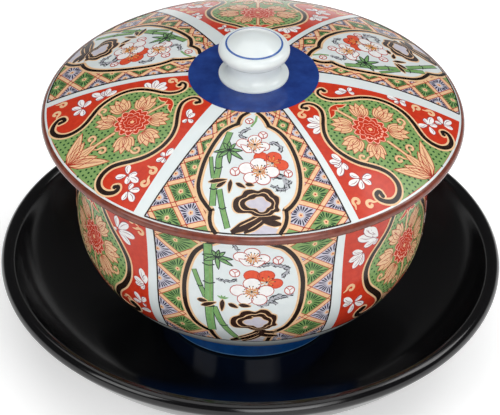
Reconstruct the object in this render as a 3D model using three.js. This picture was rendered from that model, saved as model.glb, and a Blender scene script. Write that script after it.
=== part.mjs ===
// A covered porcelain bowl on a lacquered saucer, in millimetres, with +Z up.
// The origin is the centre of the face that the saucer stands on.
// Three loose things stack up: the saucer, the bowl standing on it and the lid resting on the bowl.
// Foot rings, flange and knob are made apart and luted on, so each is a solid with a flat joining face.

import * as THREE from 'three';

// Fineness of the turned pieces
const FACETS_ROUND = 60;
const KNOB_FACETS_ROUND = 40;
const CURVE_STEPS = 8;
const KNOB_STEPS = 4;
const WALL_STEPS = 4;
const EDGE_STEPS = 3;
const LIP_STEPS = 6;

// Saucer
const SAUCER_RADIUS = 82.4;
const SAUCER_WELL_DEPTH = 22.5;
const SAUCER_FLOOR_THICKNESS = 3.25;
const SAUCER_FLOOR_MARGIN = 7;
const SAUCER_LIP_RADIUS = 2.6;
const SAUCER_SWEEP = 21;
const SAUCER_LIP_SWEEP = 14;
const SAUCER_INNER_LIP_ANGLE = 150;
const SAUCER_OUTER_LIP_ANGLE = -40;
const SAUCER_FOOT_RADIUS = 41;
const SAUCER_FOOT_WIDTH = 4;
const SAUCER_FOOT_HEIGHT = 3.5;
const SAUCER_FOOT_SHOULDER = 1;

// Bowl
const BOWL_FOOT_RADIUS = 29;
const BOWL_FOOT_FLARE = 0.8;
const BOWL_FOOT_WIDTH = 3.6;
const BOWL_FOOT_HEIGHT = 8.5;
const BOWL_FOOT_SHOULDER = 0.7;
const BOWL_BELLY_RADIUS = 57.1;
const BOWL_BELLY_HEIGHT = 34.25;
const BOWL_RIM_RADIUS = 60.25;
const BOWL_UPPER_WALL_HEIGHT = 34;
const BOWL_WALL = 3.4;
const BOWL_FLOOR_THICKNESS = 4.5;
const BOWL_FLOOR_BLEND = 4;
const BOWL_RIM_EDGE = 1;

// Lid
const LID_OVERHANG = 7.75;
const LID_LIP_RADIUS = 1.6;
const LID_LIP_DROP = 0.25;
const LID_LIP_UNDERSIDE_ANGLE = -110;
const LID_RISE = 16;
const LID_WALL = 4.25;
const LID_CROWN_MARGIN = 1;
const LID_CROWN_SWEEP = 22;
const LID_EDGE_SLOPE = 28;
const LID_EDGE_SWEEP = 14;
const LID_SEAT_MARGIN = 1.5;
const LID_INNER_SLOPE = 38;
const LID_INNER_SWEEP = 11.4;
const LID_INNER_CROWN = 24;
const LID_PLAY = 0.6;
const FLANGE_WIDTH = 3.2;
const FLANGE_DEPTH = 6;

// Knob
const KNOB_BASE_RADIUS = 11.2;
const KNOB_BASE_EDGE = 0.75;
const KNOB_NECK_RADIUS = 8.4;
const KNOB_NECK_HEIGHT = 4.75;
const KNOB_HEAD_RADIUS = 11.45;
const KNOB_HEAD_RISE = 4.75;
const KNOB_SHOULDER_RADIUS = 9.15;
const KNOB_SHOULDER_RISE = 2.25;
const KNOB_CAP_RISE = 2.75;
const KNOB_CAP_FLAT = 3.5;

// Small bevel on the edges that stand on something
const STANDING_BEVEL = 0.6;

// Points of an outline nearer than this are one point
const SAME_POINT = 1e-4;

// An outline is a list of (radius, height) points that runs anticlockwise:
// outwards along the underside, up the outside and back inwards along the top.
const at = (radius, height) => new THREE.Vector2(radius, height);

const radians = THREE.MathUtils.degToRad;

function sweep(start, leaving, arriving, end, steps = CURVE_STEPS) {
  return new THREE.CubicBezierCurve(start, leaving, arriving, end).getPoints(steps);
}

function arc(centre, across, upright, from, to, steps) {
  const curve = new THREE.EllipseCurve(centre.x, centre.y, across, upright, from, to, to < from);
  return curve.getPoints(steps);
}

// A wall that leaves the lower point upright and leans steadily out to the upper one.
function flare(low, high) {
  const upright = at(low.x, (low.y + high.y) / 2);
  return new THREE.QuadraticBezierCurve(low, upright, high).getPoints(WALL_STEPS);
}

function onCircle(centre, radius, angle) {
  return at(centre.x + radius * Math.cos(angle), centre.y + radius * Math.sin(angle));
}

function turned(name, outline, colour, roughness, facets = FACETS_ROUND) {
  const points = outline.filter((point, i) => i === 0 || point.distanceTo(outline[i - 1]) > SAME_POINT);
  const geometry = new THREE.LatheGeometry(points, facets);
  geometry.rotateX(Math.PI / 2);
  const material = new THREE.MeshStandardMaterial({ color: colour, roughness, metalness: 0 });
  const mesh = new THREE.Mesh(geometry, material);
  mesh.name = name;
  return mesh;
}

// A plain ring: flat on top, bevelled where it stands, and closed on itself.
function ringOutline(innerRadius, bottomRadius, topRadius, height) {
  return [
    at(innerRadius, STANDING_BEVEL),
    at(innerRadius + STANDING_BEVEL, 0),
    at(bottomRadius - STANDING_BEVEL, 0),
    at(bottomRadius, STANDING_BEVEL),
    at(topRadius, height),
    at(innerRadius, height),
    at(innerRadius, STANDING_BEVEL),
  ];
}

// Saucer: a deep dish with a rolled lip. Heights are above the face it stands on.
const saucerFloorHeight = SAUCER_FOOT_HEIGHT + SAUCER_FLOOR_THICKNESS;
const saucerFloorRadius = BOWL_FOOT_RADIUS + SAUCER_FLOOR_MARGIN;

function saucerOutline() {
  const lipHeight = saucerFloorHeight + SAUCER_WELL_DEPTH - SAUCER_LIP_RADIUS;
  const lip = at(SAUCER_RADIUS - SAUCER_LIP_RADIUS, lipHeight);
  const underAngle = radians(SAUCER_OUTER_LIP_ANGLE);
  const innerAngle = radians(SAUCER_INNER_LIP_ANGLE);
  const underEnd = onCircle(lip, SAUCER_LIP_RADIUS, underAngle);
  const innerStart = onCircle(lip, SAUCER_LIP_RADIUS, innerAngle);
  const underFlat = at(SAUCER_FOOT_RADIUS + SAUCER_FOOT_SHOULDER, SAUCER_FOOT_HEIGHT);
  const floorEdge = at(saucerFloorRadius, saucerFloorHeight);
  return [
    at(0, SAUCER_FOOT_HEIGHT),
    ...sweep(
      underFlat,
      at(underFlat.x + SAUCER_SWEEP, underFlat.y),
      onCircle(underEnd, SAUCER_LIP_SWEEP, underAngle - Math.PI / 2),
      underEnd,
    ),
    ...arc(lip, SAUCER_LIP_RADIUS, SAUCER_LIP_RADIUS, underAngle, innerAngle, LIP_STEPS),
    ...sweep(
      innerStart,
      onCircle(innerStart, SAUCER_LIP_SWEEP, innerAngle + Math.PI / 2),
      at(floorEdge.x + SAUCER_SWEEP, floorEdge.y),
      floorEdge,
    ),
    at(0, saucerFloorHeight),
  ];
}

function saucerFootOutline() {
  return ringOutline(
    SAUCER_FOOT_RADIUS - SAUCER_FOOT_WIDTH,
    SAUCER_FOOT_RADIUS,
    SAUCER_FOOT_RADIUS,
    SAUCER_FOOT_HEIGHT,
  );
}

// Bowl: an elliptical belly under a gently flared wall. Heights are above the foot ring's lower edge.
const bowlFootTopRadius = BOWL_FOOT_RADIUS + BOWL_FOOT_FLARE;
const bowlBaseRadius = bowlFootTopRadius + BOWL_FOOT_SHOULDER;
const bellyHeight = BOWL_FOOT_HEIGHT + BOWL_BELLY_HEIGHT;
const bowlRimHeight = bellyHeight + BOWL_UPPER_WALL_HEIGHT;
const bellyDrop = BOWL_BELLY_HEIGHT / Math.sqrt(1 - (bowlBaseRadius / BOWL_BELLY_RADIUS) ** 2);
const mouthRadius = BOWL_RIM_RADIUS - BOWL_WALL;
const innerBellyRadius = BOWL_BELLY_RADIUS - BOWL_WALL;

function bowlOutline() {
  const belly = at(0, bellyHeight);
  const baseAngle = -Math.asin(BOWL_BELLY_HEIGHT / bellyDrop);
  const innerDrop = bellyDrop - BOWL_WALL;
  const floorHeight = BOWL_FOOT_HEIGHT + BOWL_FLOOR_THICKNESS;
  const blendAngle = -Math.asin((bellyHeight - floorHeight - BOWL_FLOOR_BLEND) / innerDrop);
  const blendStart = at(innerBellyRadius * Math.cos(blendAngle), floorHeight + BOWL_FLOOR_BLEND);
  const blendRun = -BOWL_FLOOR_BLEND * Math.tan(blendAngle) * (innerBellyRadius / innerDrop);
  const blendCorner = at(blendStart.x - blendRun, floorHeight);
  const blendEnd = at(blendCorner.x - blendRun, floorHeight);
  const floorBlend = new THREE.QuadraticBezierCurve(blendStart, blendCorner, blendEnd);
  const edgeHeight = bowlRimHeight - BOWL_RIM_EDGE;
  const outerEdge = at(BOWL_RIM_RADIUS - BOWL_RIM_EDGE, edgeHeight);
  const innerEdge = at(mouthRadius + BOWL_RIM_EDGE, edgeHeight);
  return [
    at(0, BOWL_FOOT_HEIGHT),
    ...arc(belly, BOWL_BELLY_RADIUS, bellyDrop, baseAngle, 0, CURVE_STEPS),
    ...flare(at(BOWL_BELLY_RADIUS, bellyHeight), at(BOWL_RIM_RADIUS, edgeHeight)),
    ...arc(outerEdge, BOWL_RIM_EDGE, BOWL_RIM_EDGE, 0, Math.PI / 2, EDGE_STEPS),
    ...arc(innerEdge, BOWL_RIM_EDGE, BOWL_RIM_EDGE, Math.PI / 2, Math.PI, EDGE_STEPS),
    ...flare(at(innerBellyRadius, bellyHeight), at(mouthRadius, edgeHeight)).reverse(),
    ...arc(belly, innerBellyRadius, innerDrop, 0, blendAngle, CURVE_STEPS),
    ...floorBlend.getPoints(EDGE_STEPS),
    at(0, floorHeight),
  ];
}

function bowlFootOutline() {
  return ringOutline(
    BOWL_FOOT_RADIUS - BOWL_FOOT_WIDTH,
    BOWL_FOOT_RADIUS,
    bowlFootTopRadius,
    BOWL_FOOT_HEIGHT,
  );
}

// Lid: a low dome that overhangs the bowl. Heights are above the plane where it rests on the bowl's rim.
const lidRadius = BOWL_RIM_RADIUS + LID_OVERHANG;
const flangeReach = 1 - FLANGE_DEPTH / (BOWL_UPPER_WALL_HEIGHT - BOWL_RIM_EDGE);
const throatRadius = innerBellyRadius + (mouthRadius - innerBellyRadius) * flangeReach ** 2;
const flangeRadius = Math.min(mouthRadius, throatRadius) - LID_PLAY;
const flangeInnerRadius = flangeRadius - FLANGE_WIDTH;

function lidOutline() {
  const lip = at(lidRadius - LID_LIP_RADIUS, -LID_LIP_DROP);
  const underAngle = radians(LID_LIP_UNDERSIDE_ANGLE);
  const edgeAngle = radians(90 - LID_EDGE_SLOPE);
  const edge = onCircle(lip, LID_LIP_RADIUS, edgeAngle);
  const crown = at(KNOB_BASE_RADIUS + LID_CROWN_MARGIN, LID_RISE);
  const innerCrown = at(0, LID_RISE - LID_WALL);
  const innerEdge = at(flangeInnerRadius, 0);
  return [
    ...sweep(
      innerCrown,
      at(LID_INNER_CROWN, innerCrown.y),
      onCircle(innerEdge, LID_INNER_SWEEP, radians(180 - LID_INNER_SLOPE)),
      innerEdge,
    ),
    at(BOWL_RIM_RADIUS + LID_SEAT_MARGIN, 0),
    ...arc(lip, LID_LIP_RADIUS, LID_LIP_RADIUS, underAngle, edgeAngle, LIP_STEPS),
    ...sweep(
      edge,
      onCircle(edge, LID_EDGE_SWEEP, radians(180 - LID_EDGE_SLOPE)),
      at(crown.x + LID_CROWN_SWEEP, crown.y),
      crown,
    ),
    at(0, LID_RISE),
  ];
}

// The locating ring hangs under the lid, inside the bowl's mouth.
function flangeOutline() {
  return ringOutline(flangeInnerRadius, flangeRadius, flangeRadius, FLANGE_DEPTH);
}

// Knob: a flared base, a waisted neck and a round head under a low pointed cap.
function knobOutline() {
  const base = at(KNOB_BASE_RADIUS, KNOB_BASE_EDGE);
  const neck = at(KNOB_NECK_RADIUS, KNOB_NECK_HEIGHT);
  const head = at(KNOB_HEAD_RADIUS, neck.y + KNOB_HEAD_RISE);
  const shoulder = at(KNOB_SHOULDER_RADIUS, head.y + KNOB_SHOULDER_RISE);
  const tip = at(0, shoulder.y + KNOB_CAP_RISE);
  const midNeck = (base.y + neck.y) / 2;
  const midHead = (neck.y + head.y) / 2;
  return [
    at(0, 0),
    at(base.x, 0),
    ...sweep(base, at(neck.x, base.y), at(neck.x, midNeck), neck, KNOB_STEPS),
    ...sweep(neck, at(neck.x, midHead), at(head.x, midHead), head, KNOB_STEPS),
    ...sweep(head, at(head.x, shoulder.y), at(shoulder.x, shoulder.y), shoulder, KNOB_STEPS),
    ...sweep(shoulder, at(KNOB_CAP_FLAT, tip.y), at(KNOB_CAP_FLAT, tip.y), tip, KNOB_STEPS),
  ];
}

const LACQUER_BLACK = 0x0f0f12;
const LACQUER_ROUGHNESS = 0.08;
const GLAZE_WHITE = 0xe1e8e6;
const COBALT_BLUE = 0x1d3f86;
const ENAMEL_RED = 0xc0432a;
const GLAZE_ROUGHNESS = 0.12;

const saucer = new THREE.Group();
saucer.add(turned('saucer_dish', saucerOutline(), LACQUER_BLACK, LACQUER_ROUGHNESS));
saucer.add(turned('saucer_foot_ring', saucerFootOutline(), LACQUER_BLACK, LACQUER_ROUGHNESS));

const bowl = new THREE.Group();
bowl.position.z = saucerFloorHeight;
bowl.add(turned('bowl_body', bowlOutline(), ENAMEL_RED, GLAZE_ROUGHNESS));
bowl.add(turned('bowl_foot_ring', bowlFootOutline(), COBALT_BLUE, GLAZE_ROUGHNESS));
saucer.add(bowl);

const lid = new THREE.Group();
lid.position.z = bowlRimHeight;
lid.add(turned('lid_dome', lidOutline(), ENAMEL_RED, GLAZE_ROUGHNESS));
bowl.add(lid);

const flange = turned('lid_flange', flangeOutline(), GLAZE_WHITE, GLAZE_ROUGHNESS);
flange.position.z = -FLANGE_DEPTH;
lid.add(flange);

const knob = turned('lid_knob', knobOutline(), GLAZE_WHITE, GLAZE_ROUGHNESS, KNOB_FACETS_ROUND);
knob.position.z = LID_RISE;
lid.add(knob);

export default saucer;
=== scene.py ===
# %% [markdown]
# # A covered porcelain bowl on a lacquer saucer
# The real set is three loose things: a black lacquer saucer, a porcelain bowl standing in
# its well, and a domed porcelain lid on the bowl's rim. The CAD frame holds their plain
# turned solids. This lesson gives them smooth glazed skins and then paints the enamels on
# top, as the decorator does: first the porcelain is fired, then colours are laid over it.

# %% Load the frame
import math
import random

import bpy
import numpy as np
from mathutils import Matrix, Vector
from mathutils.geometry import delaunay_2d_cdt


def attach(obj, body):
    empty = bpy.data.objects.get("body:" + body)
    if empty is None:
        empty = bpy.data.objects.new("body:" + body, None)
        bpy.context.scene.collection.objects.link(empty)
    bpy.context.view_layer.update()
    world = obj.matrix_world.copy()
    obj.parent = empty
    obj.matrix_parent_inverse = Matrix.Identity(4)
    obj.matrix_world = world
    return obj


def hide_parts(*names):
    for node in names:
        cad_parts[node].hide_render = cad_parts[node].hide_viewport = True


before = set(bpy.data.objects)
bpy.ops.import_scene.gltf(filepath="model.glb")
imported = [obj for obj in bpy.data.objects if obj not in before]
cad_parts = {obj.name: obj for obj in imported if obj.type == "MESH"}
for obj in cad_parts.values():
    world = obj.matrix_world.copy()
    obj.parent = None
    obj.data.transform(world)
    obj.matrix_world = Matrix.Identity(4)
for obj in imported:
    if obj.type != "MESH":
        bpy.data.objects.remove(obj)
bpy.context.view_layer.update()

scene = bpy.context.scene
MM = 0.001

# %% [markdown]
# ## Camera
# The picture was taken with a long lens from in front and above. The camera is aimed a
# little above the saucer, because the set sits low in the frame, and is rolled by a degree.

# %% Camera
VIEW_ELEVATION = math.radians(37.188)
VIEW_DISTANCE = 1.18014
VIEW_ROLL = math.radians(1.014)
LENS_MM = 256.5
SAUCER_CENTRE = Vector((0, 0, 0.027))
AIM_ABOVE = 0.01581
AIM_LEFT = 0.00043

view_back = Vector((0, -math.cos(VIEW_ELEVATION), math.sin(VIEW_ELEVATION)))
view_up = Vector((0, math.sin(VIEW_ELEVATION), math.cos(VIEW_ELEVATION)))
camera = bpy.data.objects.new("camera", bpy.data.cameras.new("camera"))
scene.collection.objects.link(camera)
camera.data.lens = LENS_MM
camera.data.sensor_width = 36
station = SAUCER_CENTRE + view_back * VIEW_DISTANCE
aim = SAUCER_CENTRE + view_up * AIM_ABOVE - Vector((AIM_LEFT, 0, 0))
turn = (aim - station).to_track_quat("-Z", "Y").to_matrix().to_4x4()
camera.matrix_world = Matrix.Translation(station) @ turn @ Matrix.Rotation(VIEW_ROLL, 4, "Z")
scene.camera = camera
scene.view_settings.view_transform = "Standard"
print("camera at", [round(v, 3) for v in station])

# %% [markdown]
# ## Light, floor and surroundings
# Glazed ware shows its room. A large lamp in front lights the walls of the bowl and a low one
# reaches under its belly to the foot; one overhead lights the lid and two stand at the sides.
# The room itself is pale near the horizon and dim above, so the lacquer stays black. The floor is
# a pale sheet that the camera sees a little brighter than the lamps alone would leave it.

# %% Room
WALL_LIGHT = 0.8
CEILING_LIGHT = 0.1
WALL_TOP = 0.16


def node_of(tree, kind, **values):
    """Adds a node; the values set its properties, or its inputs by name."""
    node = tree.nodes.new(kind)
    for key, value in values.items():
        if hasattr(node, key):
            setattr(node, key, value)
        else:
            node.inputs[key.replace("_", " ")].default_value = value
    return node


def wire(tree, *pairs):
    """Links each output to its input."""
    for start, end in pairs:
        tree.links.new(start, end)


world = bpy.data.worlds.new("studio")
scene.world = world
world.use_nodes = True
sky = world.node_tree
sky.nodes.clear()
direction = node_of(sky, "ShaderNodeTexCoord")
height = node_of(sky, "ShaderNodeSeparateXYZ")
level = node_of(sky, "ShaderNodeMapRange", interpolation_type="SMOOTHSTEP", From_Min=0.0,
                From_Max=WALL_TOP, To_Min=WALL_LIGHT, To_Max=CEILING_LIGHT)
air = node_of(sky, "ShaderNodeBackground")
sky_out = node_of(sky, "ShaderNodeOutputWorld")
wire(sky, (direction.outputs["Generated"], height.inputs[0]),
     (height.outputs["Z"], level.inputs["Value"]), (level.outputs[0], air.inputs["Strength"]),
     (air.outputs[0], sky_out.inputs[0]))
print("room light", WALL_LIGHT, "at the walls and", CEILING_LIGHT, "above")

# %% Lamps
LAMP_AIM = Vector((0, 0, 0.06))
LAMPS = {
    "front_lamp": ((0.45, -1.35, 0.88), 1.1, 9.3),
    "low_lamp": ((0.35, -1.45, 0.6), 0.9, 6.2),
    "overhead_lamp": ((0.0, 0.1, 1.3), 1.5, 8.6),
    "right_lamp": ((0.85, 0.25, 1.05), 0.6, 4.2),
    "left_lamp": ((-1.15, -0.8, 0.9), 0.8, 6.3),
}


def lamp(name, place, size, watts):
    """A square soft box that looks at the set."""
    data = bpy.data.lights.new(name, "AREA")
    data.size = size
    data.energy = watts
    box = bpy.data.objects.new(name, data)
    scene.collection.objects.link(box)
    look = (LAMP_AIM - Vector(place)).to_track_quat("-Z", "Y").to_matrix().to_4x4()
    box.matrix_world = Matrix.Translation(place) @ look


for name, (place, size, watts) in LAMPS.items():
    lamp(name, place, size, watts)
print(len(LAMPS), "soft boxes:", ", ".join(LAMPS))

# %% Floor
FLOOR_HALF = 12.0
FLOOR_CELLS = 24
FLOOR_GREY = (0.9, 0.9, 0.9, 1)
FLOOR_LIFT = 0.4


def grid_sheet(name, half, cells):
    """A flat square sheet of quads at table height."""
    steps = np.linspace(-half, half, cells + 1)
    points = [(x, y, 0) for y in steps for x in steps]
    row = cells + 1
    faces = [(j * row + i, j * row + i + 1, (j + 1) * row + i + 1, (j + 1) * row + i)
             for j in range(cells) for i in range(cells)]
    mesh = bpy.data.meshes.new(name)
    mesh.from_pydata(points, [], faces)
    sheet = bpy.data.objects.new(name, mesh)
    scene.collection.objects.link(sheet)
    return sheet


floor = grid_sheet("floor", FLOOR_HALF, FLOOR_CELLS)
floor_paint = bpy.data.materials.new("floor_paint")
floor_paint.use_nodes = True
tree = floor_paint.node_tree
tree.nodes.clear()
rays = node_of(tree, "ShaderNodeLightPath")
seen = node_of(tree, "ShaderNodeMath", operation="MAXIMUM")
seen_more = node_of(tree, "ShaderNodeMath", operation="MAXIMUM")
brighten = node_of(tree, "ShaderNodeMath", operation="MULTIPLY")
brighten.inputs[1].default_value = FLOOR_LIFT
matt = node_of(tree, "ShaderNodeBsdfDiffuse", Color=FLOOR_GREY)
glow = node_of(tree, "ShaderNodeEmission")
both = node_of(tree, "ShaderNodeAddShader")
floor_out = node_of(tree, "ShaderNodeOutputMaterial")
wire(tree, (rays.outputs["Is Camera Ray"], seen.inputs[0]),
     (rays.outputs["Is Glossy Ray"], seen.inputs[1]), (seen.outputs[0], seen_more.inputs[0]),
     (rays.outputs["Is Transmission Ray"], seen_more.inputs[1]),
     (seen_more.outputs[0], brighten.inputs[0]), (brighten.outputs[0], glow.inputs["Strength"]),
     (matt.outputs[0], both.inputs[0]), (glow.outputs[0], both.inputs[1]),
     (both.outputs[0], floor_out.inputs[0]))
floor.data.materials.append(floor_paint)
print("floor of", len(floor.data.polygons), "cells")

# %% [markdown]
# ## Glazes, enamels and lacquer
# Every finish here is glossy and fired or rubbed, but none is even: glaze pools, enamel is
# thinner where the brush lifted, cobalt breaks into darker clouds. One function makes them
# all: two tones mixed by noise, a roughness that drifts, and a skin ripple too fine to see
# except in the shine.

# %% Finishes


def tone(red, green, blue):
    """A colour given as it looks on a screen, 0 to 255, as Blender's linear values."""
    def linear(v):
        v = v / 255
        return v / 12.92 if v <= 0.04045 else ((v + 0.055) / 1.055) ** 2.4
    return (linear(red), linear(green), linear(blue), 1)


RIPPLE_SIZE = 3.5 * MM
RIPPLE_DEPTH = 0.1 * MM
CLOUD_EDGES = (0.3, 0.7)  # noise at which the first tone ends and the second is reached


def finish(name, main, other, cloud_mm, gloss, ripple=0.02, shine=0.5):
    """A fired finish whose colour drifts between two tones in clouds of that size."""
    material = bpy.data.materials.new(name)
    material.use_nodes = True
    tree = material.node_tree
    skin = tree.nodes["Principled BSDF"]
    where = node_of(tree, "ShaderNodeTexCoord")
    cloud = node_of(tree, "ShaderNodeTexNoise", Scale=1 / (cloud_mm * MM), Detail=4.0,
                    Roughness=0.62)
    spread = node_of(tree, "ShaderNodeMapRange", From_Min=CLOUD_EDGES[0], From_Max=CLOUD_EDGES[1])
    mix = node_of(tree, "ShaderNodeMix", data_type="RGBA")
    mix.inputs[6].default_value = main
    mix.inputs[7].default_value = other
    drift = node_of(tree, "ShaderNodeMapRange", To_Min=gloss * 0.75, To_Max=gloss * 1.3)
    wave = node_of(tree, "ShaderNodeTexNoise", Scale=1 / RIPPLE_SIZE, Detail=2.0)
    bump = node_of(tree, "ShaderNodeBump", Strength=ripple, Distance=RIPPLE_DEPTH)
    wire(tree, (where.outputs["Object"], cloud.inputs["Vector"]),
         (where.outputs["Object"], wave.inputs["Vector"]),
         (cloud.outputs["Fac"], spread.inputs["Value"]), (spread.outputs[0], mix.inputs["Factor"]),
         (mix.outputs[2], skin.inputs["Base Color"]), (cloud.outputs["Fac"], drift.inputs["Value"]),
         (drift.outputs[0], skin.inputs["Roughness"]), (wave.outputs["Fac"], bump.inputs["Height"]),
         (bump.outputs[0], skin.inputs["Normal"]))
    skin.inputs["Specular IOR Level"].default_value = shine
    return material


white_glaze = finish("white_glaze", tone(228, 234, 233), tone(221, 229, 230), 9, 0.10)
cobalt_glaze = finish("cobalt_glaze", tone(34, 66, 138), tone(24, 46, 112), 4, 0.12)
foot_glaze = finish("foot_glaze", tone(22, 82, 150), tone(14, 64, 126), 4, 0.07)
pale_blue_glaze = finish("pale_blue_glaze", tone(112, 160, 200), tone(90, 140, 184), 3, 0.08)
line_blue = finish("line_blue", tone(70, 110, 178), tone(52, 88, 158), 2, 0.1)
brown_edge = finish("brown_edge", tone(132, 68, 52), tone(100, 48, 38), 2.5, 0.18)
raw_clay = finish("raw_clay", tone(214, 206, 196), tone(196, 186, 174), 1.2, 0.7, 0.2)
black_lacquer = finish("black_lacquer", tone(7, 7, 9), tone(12, 11, 13), 30, 0.13, 0.01)

ENAMELS = {
    "red": (tone(208, 62, 36), tone(192, 50, 30), 1.6),
    "green": (tone(138, 168, 106), tone(118, 154, 88), 1.6),
    "peach": (tone(237, 202, 162), tone(232, 186, 139), 1.4),
    "black": (tone(46, 32, 26), tone(32, 22, 18), 1.0),
    "red_line": (tone(190, 62, 42), tone(170, 50, 36), 1.0),
    "deep_green": (tone(42, 86, 50), tone(30, 70, 40), 0.8),
    "slate": (tone(60, 58, 84), tone(44, 44, 68), 0.8),
    "lavender": (tone(208, 204, 214), tone(194, 190, 204), 1.6),
    "white": (tone(226, 232, 232), tone(219, 227, 228), 3.0),
    "petal": (tone(246, 244, 242), tone(236, 234, 234), 1.5),
    "bamboo": (tone(134, 176, 116), tone(106, 154, 92), 1.4),
    "orange": (tone(228, 92, 58), tone(216, 74, 46), 1.2),
    "rock": (tone(62, 40, 32), tone(44, 28, 24), 1.0),
    "pale_pink": (tone(246, 200, 178), tone(238, 178, 154), 1.0),
    "grey": (tone(186, 187, 192), tone(164, 166, 174), 1.2),
    "ochre": (tone(228, 166, 92), tone(212, 146, 72), 0.8),
    "ink": (tone(48, 54, 58), tone(34, 38, 44), 0.7),
    "plum": (tone(150, 84, 96), tone(128, 64, 80), 0.8),
}
ENAMEL_GLOSS = 0.16
ENAMEL_RIPPLE = 0.04
ENAMEL_SHINE = 0.25
paints = {name: finish(name + "_enamel", main, other, size, ENAMEL_GLOSS, ENAMEL_RIPPLE,
                       ENAMEL_SHINE)
          for name, (main, other, size) in ENAMELS.items()}
print(len(bpy.data.materials), "finishes")

# %% [markdown]
# ## Outlines from the frame
# Everything on this table was thrown or turned on a wheel, so one outline says it all. The
# CAD solids are faceted, but their edge in the plane through the axis is exact. It is read
# from the frame, and rounded between its points wherever it doesn't turn a corner.

# %% Read and round an outline
CORNER = math.radians(38)  # a sharper turn than this stays a corner
STEP = 0.8 * MM
ON_PLANE = 1e-6
LONG_RUN = 3  # a run so many times as long as its neighbour stays straight


def outline_of(node):
    """The node's edge in the half plane y = 0, x > 0 as (radius, height), outside on its right."""
    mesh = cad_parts[node].data
    spots = [v.co for v in mesh.vertices]
    near = {}
    for face in mesh.polygons:
        ring = [(round(spots[i].x, 6), round(spots[i].z, 6))
                if abs(spots[i].y) < ON_PLANE and spots[i].x > -ON_PLANE else None
                for i in face.vertices]
        for a, b in zip(ring, ring[1:] + ring[:1]):
            if a and b and a != b:
                near.setdefault(a, set()).add(b)
                near.setdefault(b, set()).add(a)
    ends = [p for p in near if len(near[p]) == 1]
    start = min(ends or near, key=lambda p: (p[1], -p[0]))
    path = [start]
    while True:
        ahead = [p for p in near[path[-1]] if p not in path[-2:]]
        if len(path) == 1:
            ahead = [max(ahead, key=lambda p: (p[0], p[1]))]
        if not ahead or ahead[0] == start:
            break
        path.append(ahead[0])
    return np.array(path), not ends


def rounded(path, closed):
    """The outline with arcs between its points, straight runs and corners kept."""
    count = len(path)
    runs = np.roll(path, -1, axis=0) - path
    lengths = np.linalg.norm(runs, axis=1)
    ways = runs / lengths[:, None]
    leave, arrive = ways.copy(), np.roll(ways, 1, axis=0)
    for i in range(count):
        before = i - 1
        if not closed and i in (0, count - 1):
            continue
        turn = math.acos(max(-1, min(1, float(ways[before] @ ways[i]))))
        if turn > CORNER:
            continue
        if lengths[before] > LONG_RUN * lengths[i]:
            tangent = ways[before]
        elif lengths[i] > LONG_RUN * lengths[before]:
            tangent = ways[i]
        else:
            tangent = ways[before] * lengths[i] + ways[i] * lengths[before]
        leave[i] = arrive[i] = tangent / np.linalg.norm(tangent)
    if not closed:
        leave[0] = (1, 0)
        arrive[-1] = (-1, 0)
    result = []
    for i in range(count if closed else count - 1):
        j = (i + 1) % count
        pieces = max(2, math.ceil(lengths[i] / STEP))
        for t in np.arange(pieces) / pieces:
            result.append(path[i] * (2 * t**3 - 3 * t**2 + 1) + path[j] * (3 * t**2 - 2 * t**3)
                          + lengths[i] * (leave[i] * (t**3 - 2 * t**2 + t)
                                          + arrive[j] * (t**3 - t**2)))
    if not closed:
        result.append(path[-1])
    return np.array(result)


outlines = {}
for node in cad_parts:
    path, closed = outline_of(node)
    outlines[node] = (rounded(path, closed), closed)
    print(node, len(path), "outline points, rounded to", len(outlines[node][0]))

# %% [markdown]
# ## Turned skins
# A skin is its outline carried round the axis in fine steps. Points on the axis become one
# vertex, so the poles are closed, and only real corners are left sharp. Each skin stands for
# the CAD solid that it was read from.

# %% Spin the skins
ROUND = 240
SHARP = math.radians(40)
ON_AXIS = 1e-7


def around(count):
    """Even turns once round."""
    return np.arange(count) * 2 * math.pi / count


def polar(turns, reach):
    """Flat points at the given turns and distances."""
    return np.stack([reach * np.cos(turns), reach * np.sin(turns)], axis=1)


def heading(turn):
    """A step of one in a direction."""
    return np.array((math.cos(turn), math.sin(turn)))


def spun_mesh(name, outline, closed):
    """A turned mesh whose faces look to the right of the outline."""
    points, rings, faces = [], [], []
    angles = around(ROUND)
    for radius, z in outline:
        if radius < ON_AXIS:
            rings.append([len(points)] * ROUND)
            points.append((0, 0, z))
        else:
            rings.append(list(range(len(points), len(points) + ROUND)))
            points += [(radius * math.cos(a), radius * math.sin(a), z) for a in angles]
    pairs = list(zip(rings, rings[1:]))
    if closed:
        pairs.append((rings[-1], rings[0]))
    for low, high in pairs:
        for j in range(ROUND):
            k = (j + 1) % ROUND
            loop = [low[j], low[k], high[k], high[j]]
            loop = [v for i, v in enumerate(loop) if v != loop[i - 1]]
            faces.append(loop)
    mesh = bpy.data.meshes.new(name)
    mesh.from_pydata(points, [], faces)
    mesh.shade_smooth()
    mesh.set_sharp_from_angle(angle=SHARP)
    return mesh


def piece(name, mesh, material, body, slot):
    """Puts a finished mesh in the scene on its body."""
    thing = bpy.data.objects.new(name, mesh)
    scene.collection.objects.link(thing)
    mesh.materials.clear()
    mesh.materials.append(material)
    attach(thing, body)
    return thing


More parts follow.
